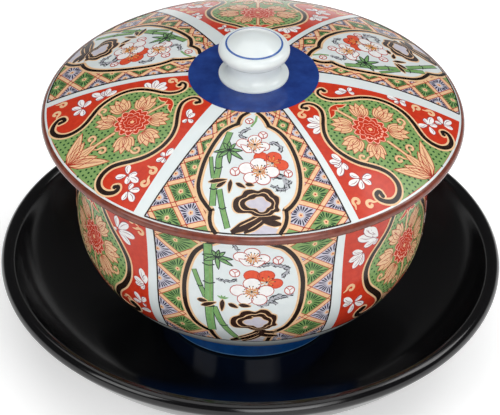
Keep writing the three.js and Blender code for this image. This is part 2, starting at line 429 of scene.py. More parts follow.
PAINTED, COBALT, WHITE = "enamelled_porcelain", "cobalt_porcelain", "white_porcelain"
SKINS = {
    "saucer_dish": ("saucer_lacquer", black_lacquer, "saucer", "lacquer"),
    "saucer_foot_ring": ("saucer_foot_lacquer", black_lacquer, "saucer", "lacquer"),
    "bowl_body": ("bowl_porcelain", white_glaze, "bowl", PAINTED),
    "bowl_foot_ring": ("bowl_foot_glaze", cobalt_glaze, "bowl", COBALT),
    "lid_dome": ("lid_porcelain", white_glaze, "lid", PAINTED),
    "lid_flange": ("lid_flange_glaze", white_glaze, "lid", WHITE),
    "lid_knob": ("lid_knob_glaze", white_glaze, "lid", WHITE),
}
for node, (name, material, body, slot) in SKINS.items():
    outline, closed = outlines[node]
    skin = piece(name, spun_mesh(name, outline, closed), material, body, slot)
    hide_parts(node)
    print(name, len(skin.data.polygons), "faces")

# %% [markdown]
# ## Measured walls
# Enamel is laid on a wall at a distance from some edge. A wall is the stretch of an outline
# that is painted: the lid's from its lip to the crown, the bowl's from its foot to its rim.

# %% Walls
FLAT = 0.01 * MM


def wall_lengths(wall):
    """How far along the wall each of its points is."""
    gaps = np.linalg.norm(np.diff(wall, axis=0), axis=1)
    return np.concatenate([[0], np.cumsum(gaps)])


lid_edge = outlines["lid_dome"][0]
lid_under_lip = int(np.argmin(lid_edge[:, 1]))
lid_wall = lid_edge[int(np.argmax(lid_edge[:, 0])):]
bowl_edge = outlines["bowl_body"][0]
bowl_base = int(np.argmax(bowl_edge[:, 1] > bowl_edge[0, 1] + FLAT)) - 1
bowl_wall = bowl_edge[bowl_base:int(np.argmax(bowl_edge[:, 1])) + 1]
print("lid wall", round(wall_lengths(lid_wall)[-1] / MM, 1), "mm, bowl wall",
      round(wall_lengths(bowl_wall)[-1] / MM, 1), "mm")

# %% [markdown]
# ## Bands on the wheel
# Rims, rings and border lines are painted while the piece turns, so they are turned too:
# a thin layer that follows the wall between two places.

# %% Band tools
SUNK = 0.03 * MM  # how deep the back of a band, area or line lies in the glaze
LAYER = 0.02 * MM
BAND_STEP = 0.5 * MM


def stretch(wall, start, end):
    """The part of a wall between two distances along it, in fine steps."""
    along = wall_lengths(wall)
    where = np.linspace(start, end, max(4, int((end - start) / BAND_STEP) + 1))
    return np.stack([np.interp(where, along, wall[:, k]) for k in (0, 1)], axis=1)


def coat_on(path, low, high):
    """A closed outline round a layer between two heights over a path."""
    way = np.gradient(path, axis=0)
    way /= np.linalg.norm(way, axis=1)[:, None]
    out = np.stack([way[:, 1], -way[:, 0]], axis=1)
    return np.concatenate([path + out * high, (path + out * low)[::-1]])


def band(name, wall, start, end, layer, material, body, slot):
    """A painted ring from start to end, in mm along the wall."""
    path = stretch(wall, start * MM, end * MM)
    mesh = spun_mesh(name, coat_on(path, -SUNK, layer * LAYER), True)
    return piece(name, mesh, material, body, slot)


def at_radius(wall, radius):
    """How far along a wall a radius is, both in mm."""
    return float(np.interp(-radius * MM, -wall[:, 0], wall_lengths(wall))) / MM


print("a layer of enamel is", round(LAYER / MM, 3), "mm")

# %% Where the bands go
# On the lid and knob these are radii, on the bowl and foot distances up the wall, in mm.
LID_FIELD_END = 66.3
LID_BROWN_FROM = 66.95
RING_OUTSIDE = 20.9
RING_INSIDE = 10.6
KNOB_LINE = 8.9
BOWL_FIELD_START = 26.7
BOWL_FIELD_END = 76.5
BOWL_BROWN_FROM = 78.0
FOOT_EDGE = 0.8
KNOB_LINE_HALF = 0.33  # half the line's width
KNOB_NECK = 107 * MM  # the knob's head is above this height
SOLE_MARGINS = (0.3 * MM, 0.2 * MM)

lid_round = lid_edge[lid_under_lip:]
lid_round_start = (wall_lengths(lid_edge)[int(np.argmax(lid_edge[:, 0]))]
                   - wall_lengths(lid_edge)[lid_under_lip]) / MM
lid_spot = {r: at_radius(lid_wall, r) for r in (LID_BROWN_FROM, RING_OUTSIDE, RING_INSIDE)}
bowl_top = wall_lengths(bowl_wall)[-1] / MM
knob_edge = outlines["lid_knob"][0]
knob_head = knob_edge[knob_edge[:, 1] > KNOB_NECK]
knob_wall = knob_head[int(np.argmax(knob_head[:, 0])):]
line_at = at_radius(knob_wall, KNOB_LINE)
foot_edge = outlines["bowl_foot_ring"][0]
foot_low = foot_edge[foot_edge[:, 1] < foot_edge[:, 1].min() + FLAT]
sole = np.array([(foot_low[:, 0].min() + SOLE_MARGINS[0], foot_low[0, 1]),
                 (foot_low[:, 0].max() - SOLE_MARGINS[1], foot_low[0, 1])])
foot_wall = foot_edge[foot_edge[:, 0] > foot_low[:, 0].max()]
foot_wall = foot_wall[np.argsort(foot_wall[:, 1])]
foot_length = wall_lengths(foot_wall)[-1] / MM
print("lid bands from", [round(v, 1) for v in lid_spot.values()], "mm along its wall, foot wall",
      round(foot_length, 2), "mm")

# %% Paint the bands
BANDS = (
    ("lid_brown_rim", lid_round, 0, lid_round_start + lid_spot[LID_BROWN_FROM], 8, brown_edge,
     "lid", PAINTED),
    ("lid_cobalt_ring", lid_wall, lid_spot[RING_OUTSIDE], lid_spot[RING_INSIDE], 9, cobalt_glaze,
     "lid", COBALT),
    ("bowl_brown_rim", bowl_wall, BOWL_BROWN_FROM, bowl_top, 6, brown_edge, "bowl", PAINTED),
    ("bowl_top_line", bowl_wall, BOWL_FIELD_END - 0.3, BOWL_FIELD_END + 0.1, 9, paints["black"],
     "bowl", PAINTED),
    ("bowl_bottom_line", bowl_wall, BOWL_FIELD_START - 0.1, BOWL_FIELD_START + 0.22, 9,
     paints["black"], "bowl", PAINTED),
    ("lid_knob_line", knob_wall, line_at - KNOB_LINE_HALF, line_at + KNOB_LINE_HALF, 2, line_blue,
     "lid", COBALT),
    ("bowl_foot_sole", sole, 0, wall_lengths(sole)[-1] / MM, 1, raw_clay, "bowl", COBALT),
    ("bowl_foot_blue", foot_wall, FOOT_EDGE, foot_length - 0.05, 1, foot_glaze, "bowl", COBALT),
    ("bowl_foot_edge", foot_wall, 0.0, FOOT_EDGE, 1, pale_blue_glaze, "bowl", COBALT),
)
for row in BANDS:
    made = band(*row)
    print(made.name, len(made.data.polygons), "faces")

# %% [markdown]
# ## The rulers and the tree that lays enamel
# A drawing is made flat, in millimetres, and must then lie on a curved wall. A ruler is a
# straight line of points, each knowing the radius, height and lean of the wall at that
# distance. A Geometry Nodes tree reads the ruler for every point of the drawing, so the same
# tree serves the lid, where distance is measured from the axis and panels fan out, and the
# bowl, where they stand side by side. It then repeats the panels round the axis.

# %% Rulers


def ruler(name, marks, wall):
    """A line of points at the given distances that carry the wall's radius, height and lean."""
    way = np.gradient(wall, axis=0)
    lean = np.arctan2(-way[:, 0], way[:, 1])
    order = np.argsort(marks)
    mesh = bpy.data.meshes.new(name)
    steps = [(i, i + 1) for i in range(len(wall) - 1)]
    mesh.from_pydata([(m, 0, 0) for m in marks[order]], steps, [])
    for label, values in (("wall_radius", wall[:, 0]), ("wall_height", wall[:, 1]),
                          ("wall_lean", lean)):
        data = mesh.attributes.new(label, "FLOAT", "POINT").data
        data.foreach_set("value", values[order].astype(np.float32))
    thing = bpy.data.objects.new(name, mesh)
    scene.collection.objects.link(thing)
    return thing


lid_ruler = ruler("lid_ruler", lid_wall[:, 0], lid_wall)
bowl_ruler = ruler("bowl_ruler", wall_lengths(bowl_wall), bowl_wall)
print("rulers of", len(lid_wall), "and", len(bowl_wall), "marks")

# %% The laying tree


def new_tree(name, inputs):
    """An empty tree with named inputs; returns it with its first and last node."""
    tree = bpy.data.node_groups.new(name, "GeometryNodeTree")
    face = tree.interface
    face.new_socket("Geometry", in_out="INPUT", socket_type="NodeSocketGeometry")
    for label, kind in inputs:
        face.new_socket(label, in_out="INPUT", socket_type="NodeSocket" + kind)
    face.new_socket("Geometry", in_out="OUTPUT", socket_type="NodeSocketGeometry")
    return tree, tree.nodes.new("NodeGroupInput"), tree.nodes.new("NodeGroupOutput")


def socket(sockets, label):
    """The socket of that name that is in use."""
    return next(s for s in sockets if s.name == label and s.enabled)


def feed(tree, node, terms):
    """Gives a node's inputs sockets or plain numbers, in order; returns its result."""
    for slot, term in zip(node.inputs, terms):
        if isinstance(term, (int, float)):
            slot.default_value = term
        else:
            tree.links.new(term, slot)
    return node.outputs[0]


def sums(tree, operation, *terms):
    """The result of a math node."""
    return feed(tree, node_of(tree, "ShaderNodeMath", operation=operation), terms)


def vector(tree, *terms):
    """A vector from three numbers."""
    return feed(tree, node_of(tree, "ShaderNodeCombineXYZ"), terms)


def chosen(tree, question, otherwise, answer):
    """Answer where the question is true, otherwise the other value."""
    node = node_of(tree, "GeometryNodeSwitch", input_type="FLOAT")
    for label, value in (("Switch", question), ("False", otherwise), ("True", answer)):
        tree.links.new(value, socket(node.inputs, label))
    return node.outputs[0]


def attribute(tree, label):
    """A named number carried by the points."""
    node = node_of(tree, "GeometryNodeInputNamedAttribute", data_type="FLOAT")
    node.inputs["Name"].default_value = label
    return socket(node.outputs, "Attribute")


def close_tree(tree, shape, material, result):
    """Every tree here ends the same way: real geometry with its enamel on."""
    real = node_of(tree, "GeometryNodeRealizeInstances")
    paint = node_of(tree, "GeometryNodeSetMaterial")
    wire(tree, (shape, real.inputs[0]), (real.outputs[0], paint.inputs["Geometry"]),
         (material, paint.inputs["Material"]), (paint.outputs[0], result.inputs[0]))


laying, given, result = new_tree("lay_enamel_on_wall", [
    ("Ruler", "Object"), ("Fan", "Bool"), ("Girth Radius", "Float"), ("Copies", "Int"),
    ("Enamel", "Material")])
link = laying.links.new
parts = node_of(laying, "ShaderNodeSeparateXYZ")
link(node_of(laying, "GeometryNodeInputPosition").outputs[0], parts.inputs[0])
across, up, lift = parts.outputs
reach = sums(laying, "SQRT", sums(laying, "ADD", sums(laying, "MULTIPLY", across, across),
                                  sums(laying, "MULTIPLY", up, up)))
fan_turn = sums(laying, "ARCTAN2", across, sums(laying, "MULTIPLY", up, -1))
wall_turn = sums(laying, "DIVIDE", across, given.outputs["Girth Radius"])
distance = chosen(laying, given.outputs["Fan"], up, reach)
angle = chosen(laying, given.outputs["Fan"], wall_turn, fan_turn)
info = node_of(laying, "GeometryNodeObjectInfo")
line = node_of(laying, "GeometryNodeMeshToCurve")
link(given.outputs["Ruler"], info.inputs["Object"])
link(info.outputs["Geometry"], line.inputs["Mesh"])


def read_ruler(label):
    """What the ruler says at this point's distance."""
    sample = node_of(laying, "GeometryNodeSampleCurve", data_type="FLOAT", mode="LENGTH",
                     use_all_curves=True)
    link(line.outputs[0], sample.inputs["Curves"])
    link(attribute(laying, label), socket(sample.inputs, "Value"))
    link(distance, socket(sample.inputs, "Length"))
    return socket(sample.outputs, "Value")


lean = read_ruler("wall_lean")
radius = sums(laying, "ADD", read_ruler("wall_radius"),
              sums(laying, "MULTIPLY", lift, sums(laying, "COSINE", lean)))
height = sums(laying, "ADD", read_ruler("wall_height"),
              sums(laying, "MULTIPLY", lift, sums(laying, "SINE", lean)))
laid = node_of(laying, "GeometryNodeSetPosition")
link(given.outputs["Geometry"], laid.inputs["Geometry"])
link(vector(laying, sums(laying, "MULTIPLY", radius, sums(laying, "SINE", angle)),
            sums(laying, "MULTIPLY", radius, sums(laying, "MULTIPLY",
                                                  sums(laying, "COSINE", angle), -1)),
            height), laid.inputs["Position"])
seats = node_of(laying, "GeometryNodePoints")
link(given.outputs["Copies"], seats.inputs["Count"])
number = node_of(laying, "GeometryNodeInputIndex")
share = sums(laying, "DIVIDE", 2 * math.pi, given.outputs["Copies"])
spin = node_of(laying, "FunctionNodeEulerToRotation")
link(vector(laying, 0, 0, sums(laying, "MULTIPLY", number.outputs[0], share)), spin.inputs[0])
copies = node_of(laying, "GeometryNodeInstanceOnPoints")
link(seats.outputs[0], copies.inputs["Points"])
link(laid.outputs[0], copies.inputs["Instance"])
link(spin.outputs[0], copies.inputs["Rotation"])
close_tree(laying, copies.outputs[0], given.outputs["Enamel"], result)
print("laying tree with", len(laying.nodes), "nodes")

# %% [markdown]
# ## Brush marks
# The cells are filled with hundreds of single touches of the brush, and the ground of the
# medallions with dots. Each touch is one small shape, so a second tree puts copies of it on
# points, and every point says how its touch is turned, how long and how wide it is.

# %% The strewing tree and its marks
MARK_DEPTH = 0.25 * MM

strewing, given, result = new_tree("strew_brush_marks", [("Mark", "Object"),
                                                         ("Enamel", "Material")])
link = strewing.links.new
info = node_of(strewing, "GeometryNodeObjectInfo")
link(given.outputs["Mark"], info.inputs["Object"])
spin = node_of(strewing, "FunctionNodeEulerToRotation")
link(vector(strewing, 0, 0, attribute(strewing, "turn")), spin.inputs[0])
touches = node_of(strewing, "GeometryNodeInstanceOnPoints")
link(given.outputs["Geometry"], touches.inputs["Points"])
link(info.outputs["Geometry"], touches.inputs["Instance"])
link(spin.outputs[0], touches.inputs["Rotation"])
link(vector(strewing, attribute(strewing, "long"), attribute(strewing, "wide"), 1),
     touches.inputs["Scale"])
close_tree(strewing, touches.outputs[0], given.outputs["Enamel"], result)


def slab_of(outline, top, bottom):
    """Points and faces of a flat convex or star-shaped plate."""
    count = len(outline)
    middle = np.mean(outline, axis=0)
    points = [(*p, top) for p in outline] + [(*p, bottom) for p in outline]
    points += [(*middle, top), (*middle, bottom)]
    faces = []
    for i in range(count):
        j = (i + 1) % count
        faces += [(i, j, 2 * count), (count + j, count + i, 2 * count + 1),
                  (count + i, count + j, j, i)]
    return points, faces


def mark_shape(name, outline):
    """A touch of the brush, one unit long, its skin level with the point it stands on."""
    mesh = bpy.data.meshes.new(name)
    points, faces = slab_of(np.array(outline), 0, -MARK_DEPTH)
    mesh.from_pydata(points, [], faces)
    thing = bpy.data.objects.new(name, mesh)
    scene.collection.objects.link(thing)
    return thing


def lobed(count, dip, per=3):
    """A small flower outline of radius one half."""
    turns = around(count * per)
    return polar(turns, 0.5 * (1 - dip * (1 - np.cos(turns * count)) / 2))


mark_shapes = {
    "dash": mark_shape("dash_mark", [(0, 0), (0.35, -0.36), (0.75, -0.5), (1, -0.12), (1, 0.12),
                                     (0.75, 0.5), (0.35, 0.36)]),
    "dot": mark_shape("dot_mark", lobed(1, 0.0, 8)),
    "rosette": mark_shape("rosette_mark", lobed(5, 0.3)),
}
print("marks:", ", ".join(mark_shapes))

# %% [markdown]
# ## Drawing flat
# A drawing is a flat sheet in millimetres with the top towards the knob. It sorts what is
# drawn by colour, since each enamel is its own layer of glass and is fired as its own piece.
# Areas are cut into small triangles, so that they bend with the wall. Lines are ribbons.
# Layers are two hundredths of a millimetre apart, which is less than real enamel stands up.

# %% Drawing tools
GIRTH = 57.1  # the bowl's radius at which a drawing keeps its width
AREA_GRAIN = 1.7  # side of the triangles in an area
ROW_STEP = 0.87  # from one staggered row to the next, as a share of the side
RIM_CLEAR = 0.55  # inner points keep this far from the rim, as a share of the side
EDGE_STEP = 1.2
LINE_STEP = 0.8
TINY = 1e-9


def curve(points, closed=False, per=5):
    """A smooth curve through the given points."""
    p = np.array(points, dtype=float)
    p = np.concatenate([p[-1:], p, p[:2]]) if closed else np.concatenate(
        [2 * p[:1] - p[1:2], p, 2 * p[-1:] - p[-2:-1]])
    t = (np.arange(per) / per)[None, :, None]
    a, b, c, d = (p[i:len(p) - 3 + i, None] for i in range(4))
    bent = 0.5 * (2 * b + (c - a) * t + (2 * a - 5 * b + 4 * c - d) * t**2
                  + (3 * b - a - 3 * c + d) * t**3)
    bent = bent.reshape(-1, 2)
    return bent if closed else np.concatenate([bent, p[-2:-1]])


def paced(path, step, closed=False):
    """The same path with points at even steps, corners nearly kept."""
    path = np.asarray(path, dtype=float)
    result = []
    ends = np.roll(path, -1, axis=0) if closed else path[1:]
    for a, b in zip(path, ends):
        pieces = max(1, math.ceil(np.linalg.norm(b - a) / step))
        result += [a + (b - a) * k / pieces for k in range(pieces)]
    return np.array(result if closed else result + [path[-1]])


def inside(spots, loop):
    """Which spots lie inside the loop."""
    x, y = spots[:, :1], spots[:, 1:]
    ax, ay = loop[:, 0], loop[:, 1]
    bx, by = np.roll(ax, -1), np.roll(ay, -1)
    crossing = ((ay > y) != (by > y)) & (
        x < (bx - ax) * (y - ay) / np.where(by == ay, TINY, by - ay) + ax)
    return crossing.sum(axis=1) % 2 == 1


def signed_area(loop):
    """Positive where the loop runs against the clock."""
    ahead = np.roll(loop, -1, axis=0)
    return 0.5 * float(np.sum(loop[:, 0] * ahead[:, 1] - ahead[:, 0] * loop[:, 1]))


print("areas are cut into triangles of about", AREA_GRAIN, "mm")

# %% The drawings


class Drawing:
    """A flat drawing for one wall, sorted by enamel colour."""

    def __init__(self, body, fan, ruler_object):
        self.body, self.fan, self.ruler = body, fan, ruler_object
        self.turn = 0.0
        self.slabs = {}
        self.marks = {}

    def at(self, points):
        """Listed points in the panel: a fan's are listed as across and out from the axis."""
        return np.array(points, dtype=float).reshape(-1, 2) * (1, -1 if self.fan else 1)

    def flat(self, points):
        """Panel points on the sheet: a fan's panel is turned, a wall's moved along."""
        p = np.asarray(points, dtype=float).reshape(-1, 2)
        if self.fan:
            c, s = math.cos(self.turn), math.sin(self.turn)
            return p @ np.array([[c, s], [-s, c]])
        return p + (self.turn * GIRTH, 0)

    def slab(self, colour, points, faces, layer):
        """A plate with a skin at its layer and its back sunk into the glaze."""
        spots, sides = self.slabs.setdefault(colour, ([], []))
        base, count = len(spots), len(points)
        spots += [(p[0], p[1], layer * LAYER / MM) for p in points]
        spots += [(p[0], p[1], -SUNK / MM) for p in points]
        rims = set()
        for face in faces:
            sides.append(tuple(base + i for i in face))
            sides.append(tuple(base + count + i for i in reversed(face)))
            rims.update(zip(face, face[1:] + face[:1]))
        for a, b in rims:
            if (b, a) not in rims:
                sides.append((base + count + a, base + count + b, base + b, base + a))

    def fill(self, colour, outline, layer):
        """An area of enamel inside a closed outline."""
        loop = self.flat(paced(outline, EDGE_STEP, True))
        if signed_area(loop) < 0:
            loop = loop[::-1]
        low, high = loop.min(axis=0), loop.max(axis=0)
        xs = np.arange(low[0], high[0], AREA_GRAIN)
        ys = np.arange(low[1], high[1], AREA_GRAIN * ROW_STEP)
        grid = np.array([(x + (j % 2) * AREA_GRAIN / 2, y) for j, y in enumerate(ys) for x in xs])
        if len(grid):
            grid = grid[inside(grid, loop)]
        if len(grid):
            gaps = np.linalg.norm(grid[:, None] - loop[None], axis=2).min(axis=1)
            grid = grid[gaps > RIM_CLEAR * AREA_GRAIN]
        spots = [Vector(p) for p in loop] + [Vector(p) for p in grid]
        rim = [(i, (i + 1) % len(loop)) for i in range(len(loop))]
        cut = delaunay_2d_cdt(spots, rim, [], 1, 1e-5)
        self.slab(colour, cut[0], [list(f) for f in cut[2]], layer)

    def stroke(self, colour, path, width, layer, ends=(1, 1), swell=None):
        """A brush line; ends say how wide it starts and stops, swell its middle."""
        line = self.flat(paced(path, LINE_STEP))
        along = np.linspace(0, 1, len(line))
        half = width / 2 * np.interp(along, (0, 0.3, 0.7, 1), (ends[0], 1, 1, ends[1]))
        if swell:
            half = width / 2 * np.interp(along, np.linspace(0, 1, len(swell)), swell)
        way = np.gradient(line, axis=0)
        way /= np.maximum(np.linalg.norm(way, axis=1), TINY)[:, None]
        side = np.stack([-way[:, 1], way[:, 0]], axis=1) * half[:, None]
        count = len(line)
        points = np.concatenate([line - side, line + side])
        faces = [[i, i + 1, count + i + 1, count + i] for i in range(count - 1)]
        self.slab(colour, points, faces, layer)

    def mark(self, colour, shape, spot, turn, long, wide, layer):
        """One touch of the brush."""
        x, y = self.flat(spot)[0]
        turn += self.turn if self.fan else 0
        self.marks.setdefault((colour, shape), []).append((x, y, layer, turn, long, wide))


lid_drawing = Drawing("lid", True, lid_ruler)
bowl_drawing = Drawing("bowl", False, bowl_ruler)
dice = random.Random(7)
print("empty drawings for the", lid_drawing.body, "and the", bowl_drawing.body)

# %% Laying a drawing
PANELS_ROUND = 3


def set_input(modifier, label, value):
    """Sets a modifier's input by its socket's identifier."""
    for item in modifier.node_group.interface.items_tree:
        if item.item_type == "SOCKET" and item.in_out == "INPUT" and item.name == label:
            modifier[item.identifier] = value


def lay(drawing, name, sheet, colour, strewn=None):
    """Lays a flat mesh on the wall and returns it as a finished piece."""
    flat = bpy.data.objects.new(name + "_flat", sheet)
    scene.collection.objects.link(flat)
    if strewn:
        strew = flat.modifiers.new("strew", "NODES")
        strew.node_group = strewing
        set_input(strew, "Mark", mark_shapes[strewn])
        set_input(strew, "Enamel", paints[colour])
    cover = flat.modifiers.new("lay", "NODES")
    cover.node_group = laying
    for label, value in (("Ruler", drawing.ruler), ("Fan", drawing.fan),
                         ("Girth Radius", GIRTH * MM), ("Copies", PANELS_ROUND),
                         ("Enamel", paints[colour])):
        set_input(cover, label, value)
    bpy.context.view_layer.update()
    graph = bpy.context.evaluated_depsgraph_get()
    mesh = bpy.data.meshes.new_from_object(flat.evaluated_get(graph))
    mesh.name = name
    bpy.data.objects.remove(flat)
    mesh.shade_smooth()
    mesh.set_sharp_from_angle(angle=SHARP)
    return piece(name, mesh, paints[colour], drawing.body, PAINTED)


def triangles(thing):
    """How many triangles a piece comes to."""
    return sum(len(face.vertices) - 2 for face in thing.data.polygons)


def lay_all(drawing):
    """Every colour of a drawing as one piece, then every kind of mark."""
    for colour, (spots, faces) in drawing.slabs.items():
        sheet = bpy.data.meshes.new(colour)
        sheet.from_pydata([tuple(v * MM for v in p) for p in spots], [], faces)
        made = lay(drawing, f"{drawing.body}_{colour}", sheet, colour)
        print(made.name, triangles(made), "triangles")
    for (colour, shape), rows in drawing.marks.items():
        data = np.array(rows)
        sheet = bpy.data.meshes.new(colour + shape)
        sheet.from_pydata([(x * MM, y * MM, layer * LAYER) for x, y, layer in data[:, :3]], [], [])
        for column, (label, unit) in enumerate((("turn", 1), ("long", MM), ("wide", MM)), 3):
            values = sheet.attributes.new(label, "FLOAT", "POINT").data
            values.foreach_set("value", (data[:, column] * unit).astype(np.float32))
        made = lay(drawing, f"{drawing.body}_{colour}_{shape}s", sheet, colour, shape)
        print(made.name, len(rows), "marks", triangles(made), "triangles")


print("a drawing goes", PANELS_ROUND, "times round")

# %% [markdown]
# ## The lattice
# Beside each window runs a diaper of bands, green and lavender cells in turn. It is ruled
# along the panel's own border: half cells stand on the border, and the next row fits between
# them. Every cell is a diamond cut to the panel, filled with a star of brush strokes.

# %% Lattice tools
GROUND, CELL, TOUCH, BORDER = 1, 2, 3, 6  # layers
FINE = 0.24  # width of most fine lines
BAND = 1.45
BAND_SHARE = 0.45  # a band is at most this share of its row
LAP = 1.4  # how far a cell's edge line runs on, in band widths
ROWS = 4
CELLS = range(-1, 7)
SMALLEST_CELL = 1.0
BORDER_HEART = 0.8  # how far in the stars of the half cells stand
STAR_STROKES = 20
STAR_HEART = 1.2
STAR_REACH = 5.5
SHORTEST = 0.5
FAR = 99.0


def cross(a, b):
    """Positive where b points to the left of a."""
    return a[0] * b[1] - a[1] * b[0]


def clipped(loop, frame_loop):
    """A loop cut to a convex frame that runs against the clock."""
    loop = [np.array(p, dtype=float) for p in loop]
    for a, b in zip(frame_loop, np.roll(frame_loop, -1, axis=0)):
        kept = []
        for p, q in zip(loop, loop[1:] + loop[:1]):
            here, ahead = cross(b - a, p - a), cross(b - a, q - a)
            if here >= 0:
                kept.append(p)
            if here * ahead < 0:
                kept.append(p + (q - p) * here / (here - ahead))
        loop = kept
        if len(loop) < 3:
            return np.zeros((0, 2))
    return np.array(loop)


def reach_in(loop, spot, way):
    """How far it is from a spot to the loop along a direction."""
    best = FAR
    for a, b in zip(loop, np.roll(loop, -1, axis=0)):
        edge, gap = b - a, a - spot
        slant = cross(way, edge)
        if abs(slant) < TINY:
            continue
        t, s = cross(gap, edge) / slant, cross(gap, way) / slant
        if t > 0 and -1e-6 <= s <= 1 + 1e-6:
            best = min(best, t)
    return best


def star(drawing, cell, spot, colour):
    """Strokes from near a spot to the cell's edge, and a little flower in the middle."""
    for k in range(STAR_STROKES):
        turn = 2 * math.pi * (k + dice.uniform(-0.15, 0.15)) / STAR_STROKES
        way = heading(turn)
        long = min(reach_in(cell, spot, way) * 0.93, STAR_REACH) - STAR_HEART
        if long > SHORTEST:
            drawing.mark(colour, "dash", spot + way * STAR_HEART, turn, long, 0.54, TOUCH)
    drawing.mark("peach", "rosette", spot, dice.uniform(0, 6), 1.9, 1.9, TOUCH + 0.6)
    drawing.mark("red_line", "dot", spot, 0, 0.6, 0.6, TOUCH + 1.2)


def cut_line(loop, a, b):
    """The stretch from a to b that lies inside a convex loop, or nothing."""
    way, low, high = b - a, 0.0, 1.0
    for p, q in zip(loop, np.roll(loop, -1, axis=0)):
        depth, slope = cross(q - p, a - p), cross(q - p, way)
        if slope > TINY:
            low = max(low, -depth / slope)
        elif slope < -TINY:
            high = min(high, -depth / slope)
        elif depth < 0:
            return None
    return [a + way * low, a + way * high] if high - low > 1e-3 else None


def lattice(drawing, near, far, inward, frame_loop, hidden, first, period, depth, growth, shift):
    """The diaper along one border, from near to far; its rows deepen on the way."""
    near, far, inward = (np.array(v, dtype=float) for v in (near, far, inward))
    along = (far - near) / np.linalg.norm(far - near)
    inward = inward - along * (inward @ along)
    inward /= np.linalg.norm(inward)

    def spot(s, t):
        return near + along * (first + period * s) + inward * t * (depth + growth * s)

    for row in range(ROWS):
        for k in CELLS:
            s = k + row % 2 / 2
            tall = depth + growth * s
            wide = min(BAND, BAND_SHARE * tall)
            shrink = 1 - wide / 2 * math.hypot(period / 2, tall) / (period / 2 * tall)
            corners = [spot(s + shrink / 2, row), spot(s, row + shrink), spot(s - shrink / 2, row),
                       spot(s, row - shrink)]
            if inside(np.array(corners), hidden).all():
                continue
            for a, b in zip(corners, corners[1:] + corners[:1]):
                past = (b - a) / np.linalg.norm(b - a) * wide * LAP
                line = cut_line(frame_loop, a - past, b + past)
                if line:
                    drawing.stroke("red_line", line, FINE, TOUCH)
            cell = clipped(corners, frame_loop)
            if len(cell) < 3 or abs(signed_area(cell)) < SMALLEST_CELL:
                continue
            green = row % 2 == 1
            drawing.fill("green" if green else "lavender", cell, CELL)
            heart = spot(s, row) + inward * (-shift if row else BORDER_HEART)
            if inside(heart[None], cell)[0]:
                star(drawing, cell, heart, "deep_green" if green else "slate")


def on_circle(a, b, radius):
    """Where the line through a and b leaves a circle about the axis, past a."""
    a, way = np.array(a), np.array(b) - np.array(a)
    way = way / np.linalg.norm(way)
    half = a @ way
    return a + way * (-half + math.sqrt(half**2 - a @ a + radius**2))


def rim_arc(low, high, radius, count):
    """Points along the rim from one end to the other."""
    start, end = math.atan2(low[1], low[0]), math.atan2(high[1], high[0])
    return polar(np.linspace(start, end, count), radius)


def fan_panel(left, right, radius):
    """A convex panel between two border lines and a rim, against the clock."""
    rim = rim_arc(on_circle(*left, radius), on_circle(*right, radius), radius, 24)
    return np.concatenate([[left[0]], rim, [right[0]]])


def joined(*runs):
    """Smooth runs that meet in corners, as one path."""
    return np.concatenate([curve(run) for run in runs])


print("a lattice has", ROWS, "rows of up to", len(CELLS), "cells")

# %% Lid lattice
LID_WINDOW = (
    [[(-1.25, 20.75), (-3.5, 22.75), (-4.4, 25), (-4.5, 26.25)],
     [(-4.5, 26.25), (-6.5, 27.25), (-9, 29.25), (-11, 32.5), (-13, 36.5), (-14.75, 41), (-16, 46),
      (-16.5, 50), (-15.75, 53.5), (-14, 56.5), (-12.5, 58.5)],
     [(-12.5, 58.5), (-12.75, 61), (-12.25, 63.5), (-11, 65.5), (-10.8, 66)]],
    [[(1.25, 20.75), (3, 22.75), (4.25, 25), (5, 27)],
     [(5, 27), (7.25, 28.5), (9.25, 30.5), (11.25, 33.5), (13, 37.5), (14.25, 41.5), (15, 46),
      (15, 50), (14.25, 53.5), (12.5, 56.5), (10.75, 58.25)],
     [(10.75, 58.25), (11, 60.5), (10.5, 63), (9.25, 65.25), (9, 66)]],
)
LID_BORDERS = ([(-8.0, 18.9), (-33, 57.75)], [(9.1, 18.5), (30.75, 58.75)])
LID_PERIOD = 9.1
LID_GROWTH = 1.0

lid_window = [lid_drawing.at(joined(*side)) for side in LID_WINDOW]
lid_borders = [lid_drawing.at(border) for border in LID_BORDERS]
lid_field = fan_panel(*lid_borders, LID_FIELD_END)
behind = np.concatenate([lid_window[0], lid_window[1][::-1]])
left_half = clipped(lid_field, FAR * np.array([(0, -1), (0, 0), (-1, 0), (-1, -1)]))
right_half = clipped(lid_field, FAR * np.array([(0, 0), (0, -1), (1, -1), (1, 0)]))
lid_drawing.fill("peach", lid_field, GROUND)
for border, inward, half, first, depth in ((lid_borders[0], (1, 0), left_half, 2.8, 2.3),
                                           (lid_borders[1], (-1, 0), right_half, 2.4, 2.9)):
    lattice(lid_drawing, *border, inward, half, behind, first, LID_PERIOD, depth, LID_GROWTH, 0)
    lid_drawing.stroke("black", [border[0], on_circle(*border, LID_FIELD_END)], 0.45, BORDER)
ends = [on_circle(*border, LID_FIELD_END) for border in lid_borders]
lid_drawing.stroke("black", rim_arc(*ends, LID_FIELD_END, 40), 0.36, 9)
print("lid lattice:", sum(len(v) for v in lid_drawing.marks.values()), "touches")

# %% [markdown]
# ## The windows
# A shaped window with a dark frame shows bamboo, plum blossom and a garden rock on white.
# The same motifs stand on the lid and on the bowl, drawn again by the same hand, so each
# motif is a function, and each window is a table of the motifs' own places.

# %% Motifs of the window
PANE, TWIG, ROCK, BUD = 5, 7, 8, 9  # layers
POINTED = ((0.2, 0.8), (0.4, 1.0), (0.75, 0.6))
PLUMP = ((0.2, 0.55), (0.6, 1.0), (0.88, 0.7))
STAMEN = 2.1


def ring_path(loop):
    """A closed loop as a path that comes back to its start."""
    return np.concatenate([loop, loop[:1]])


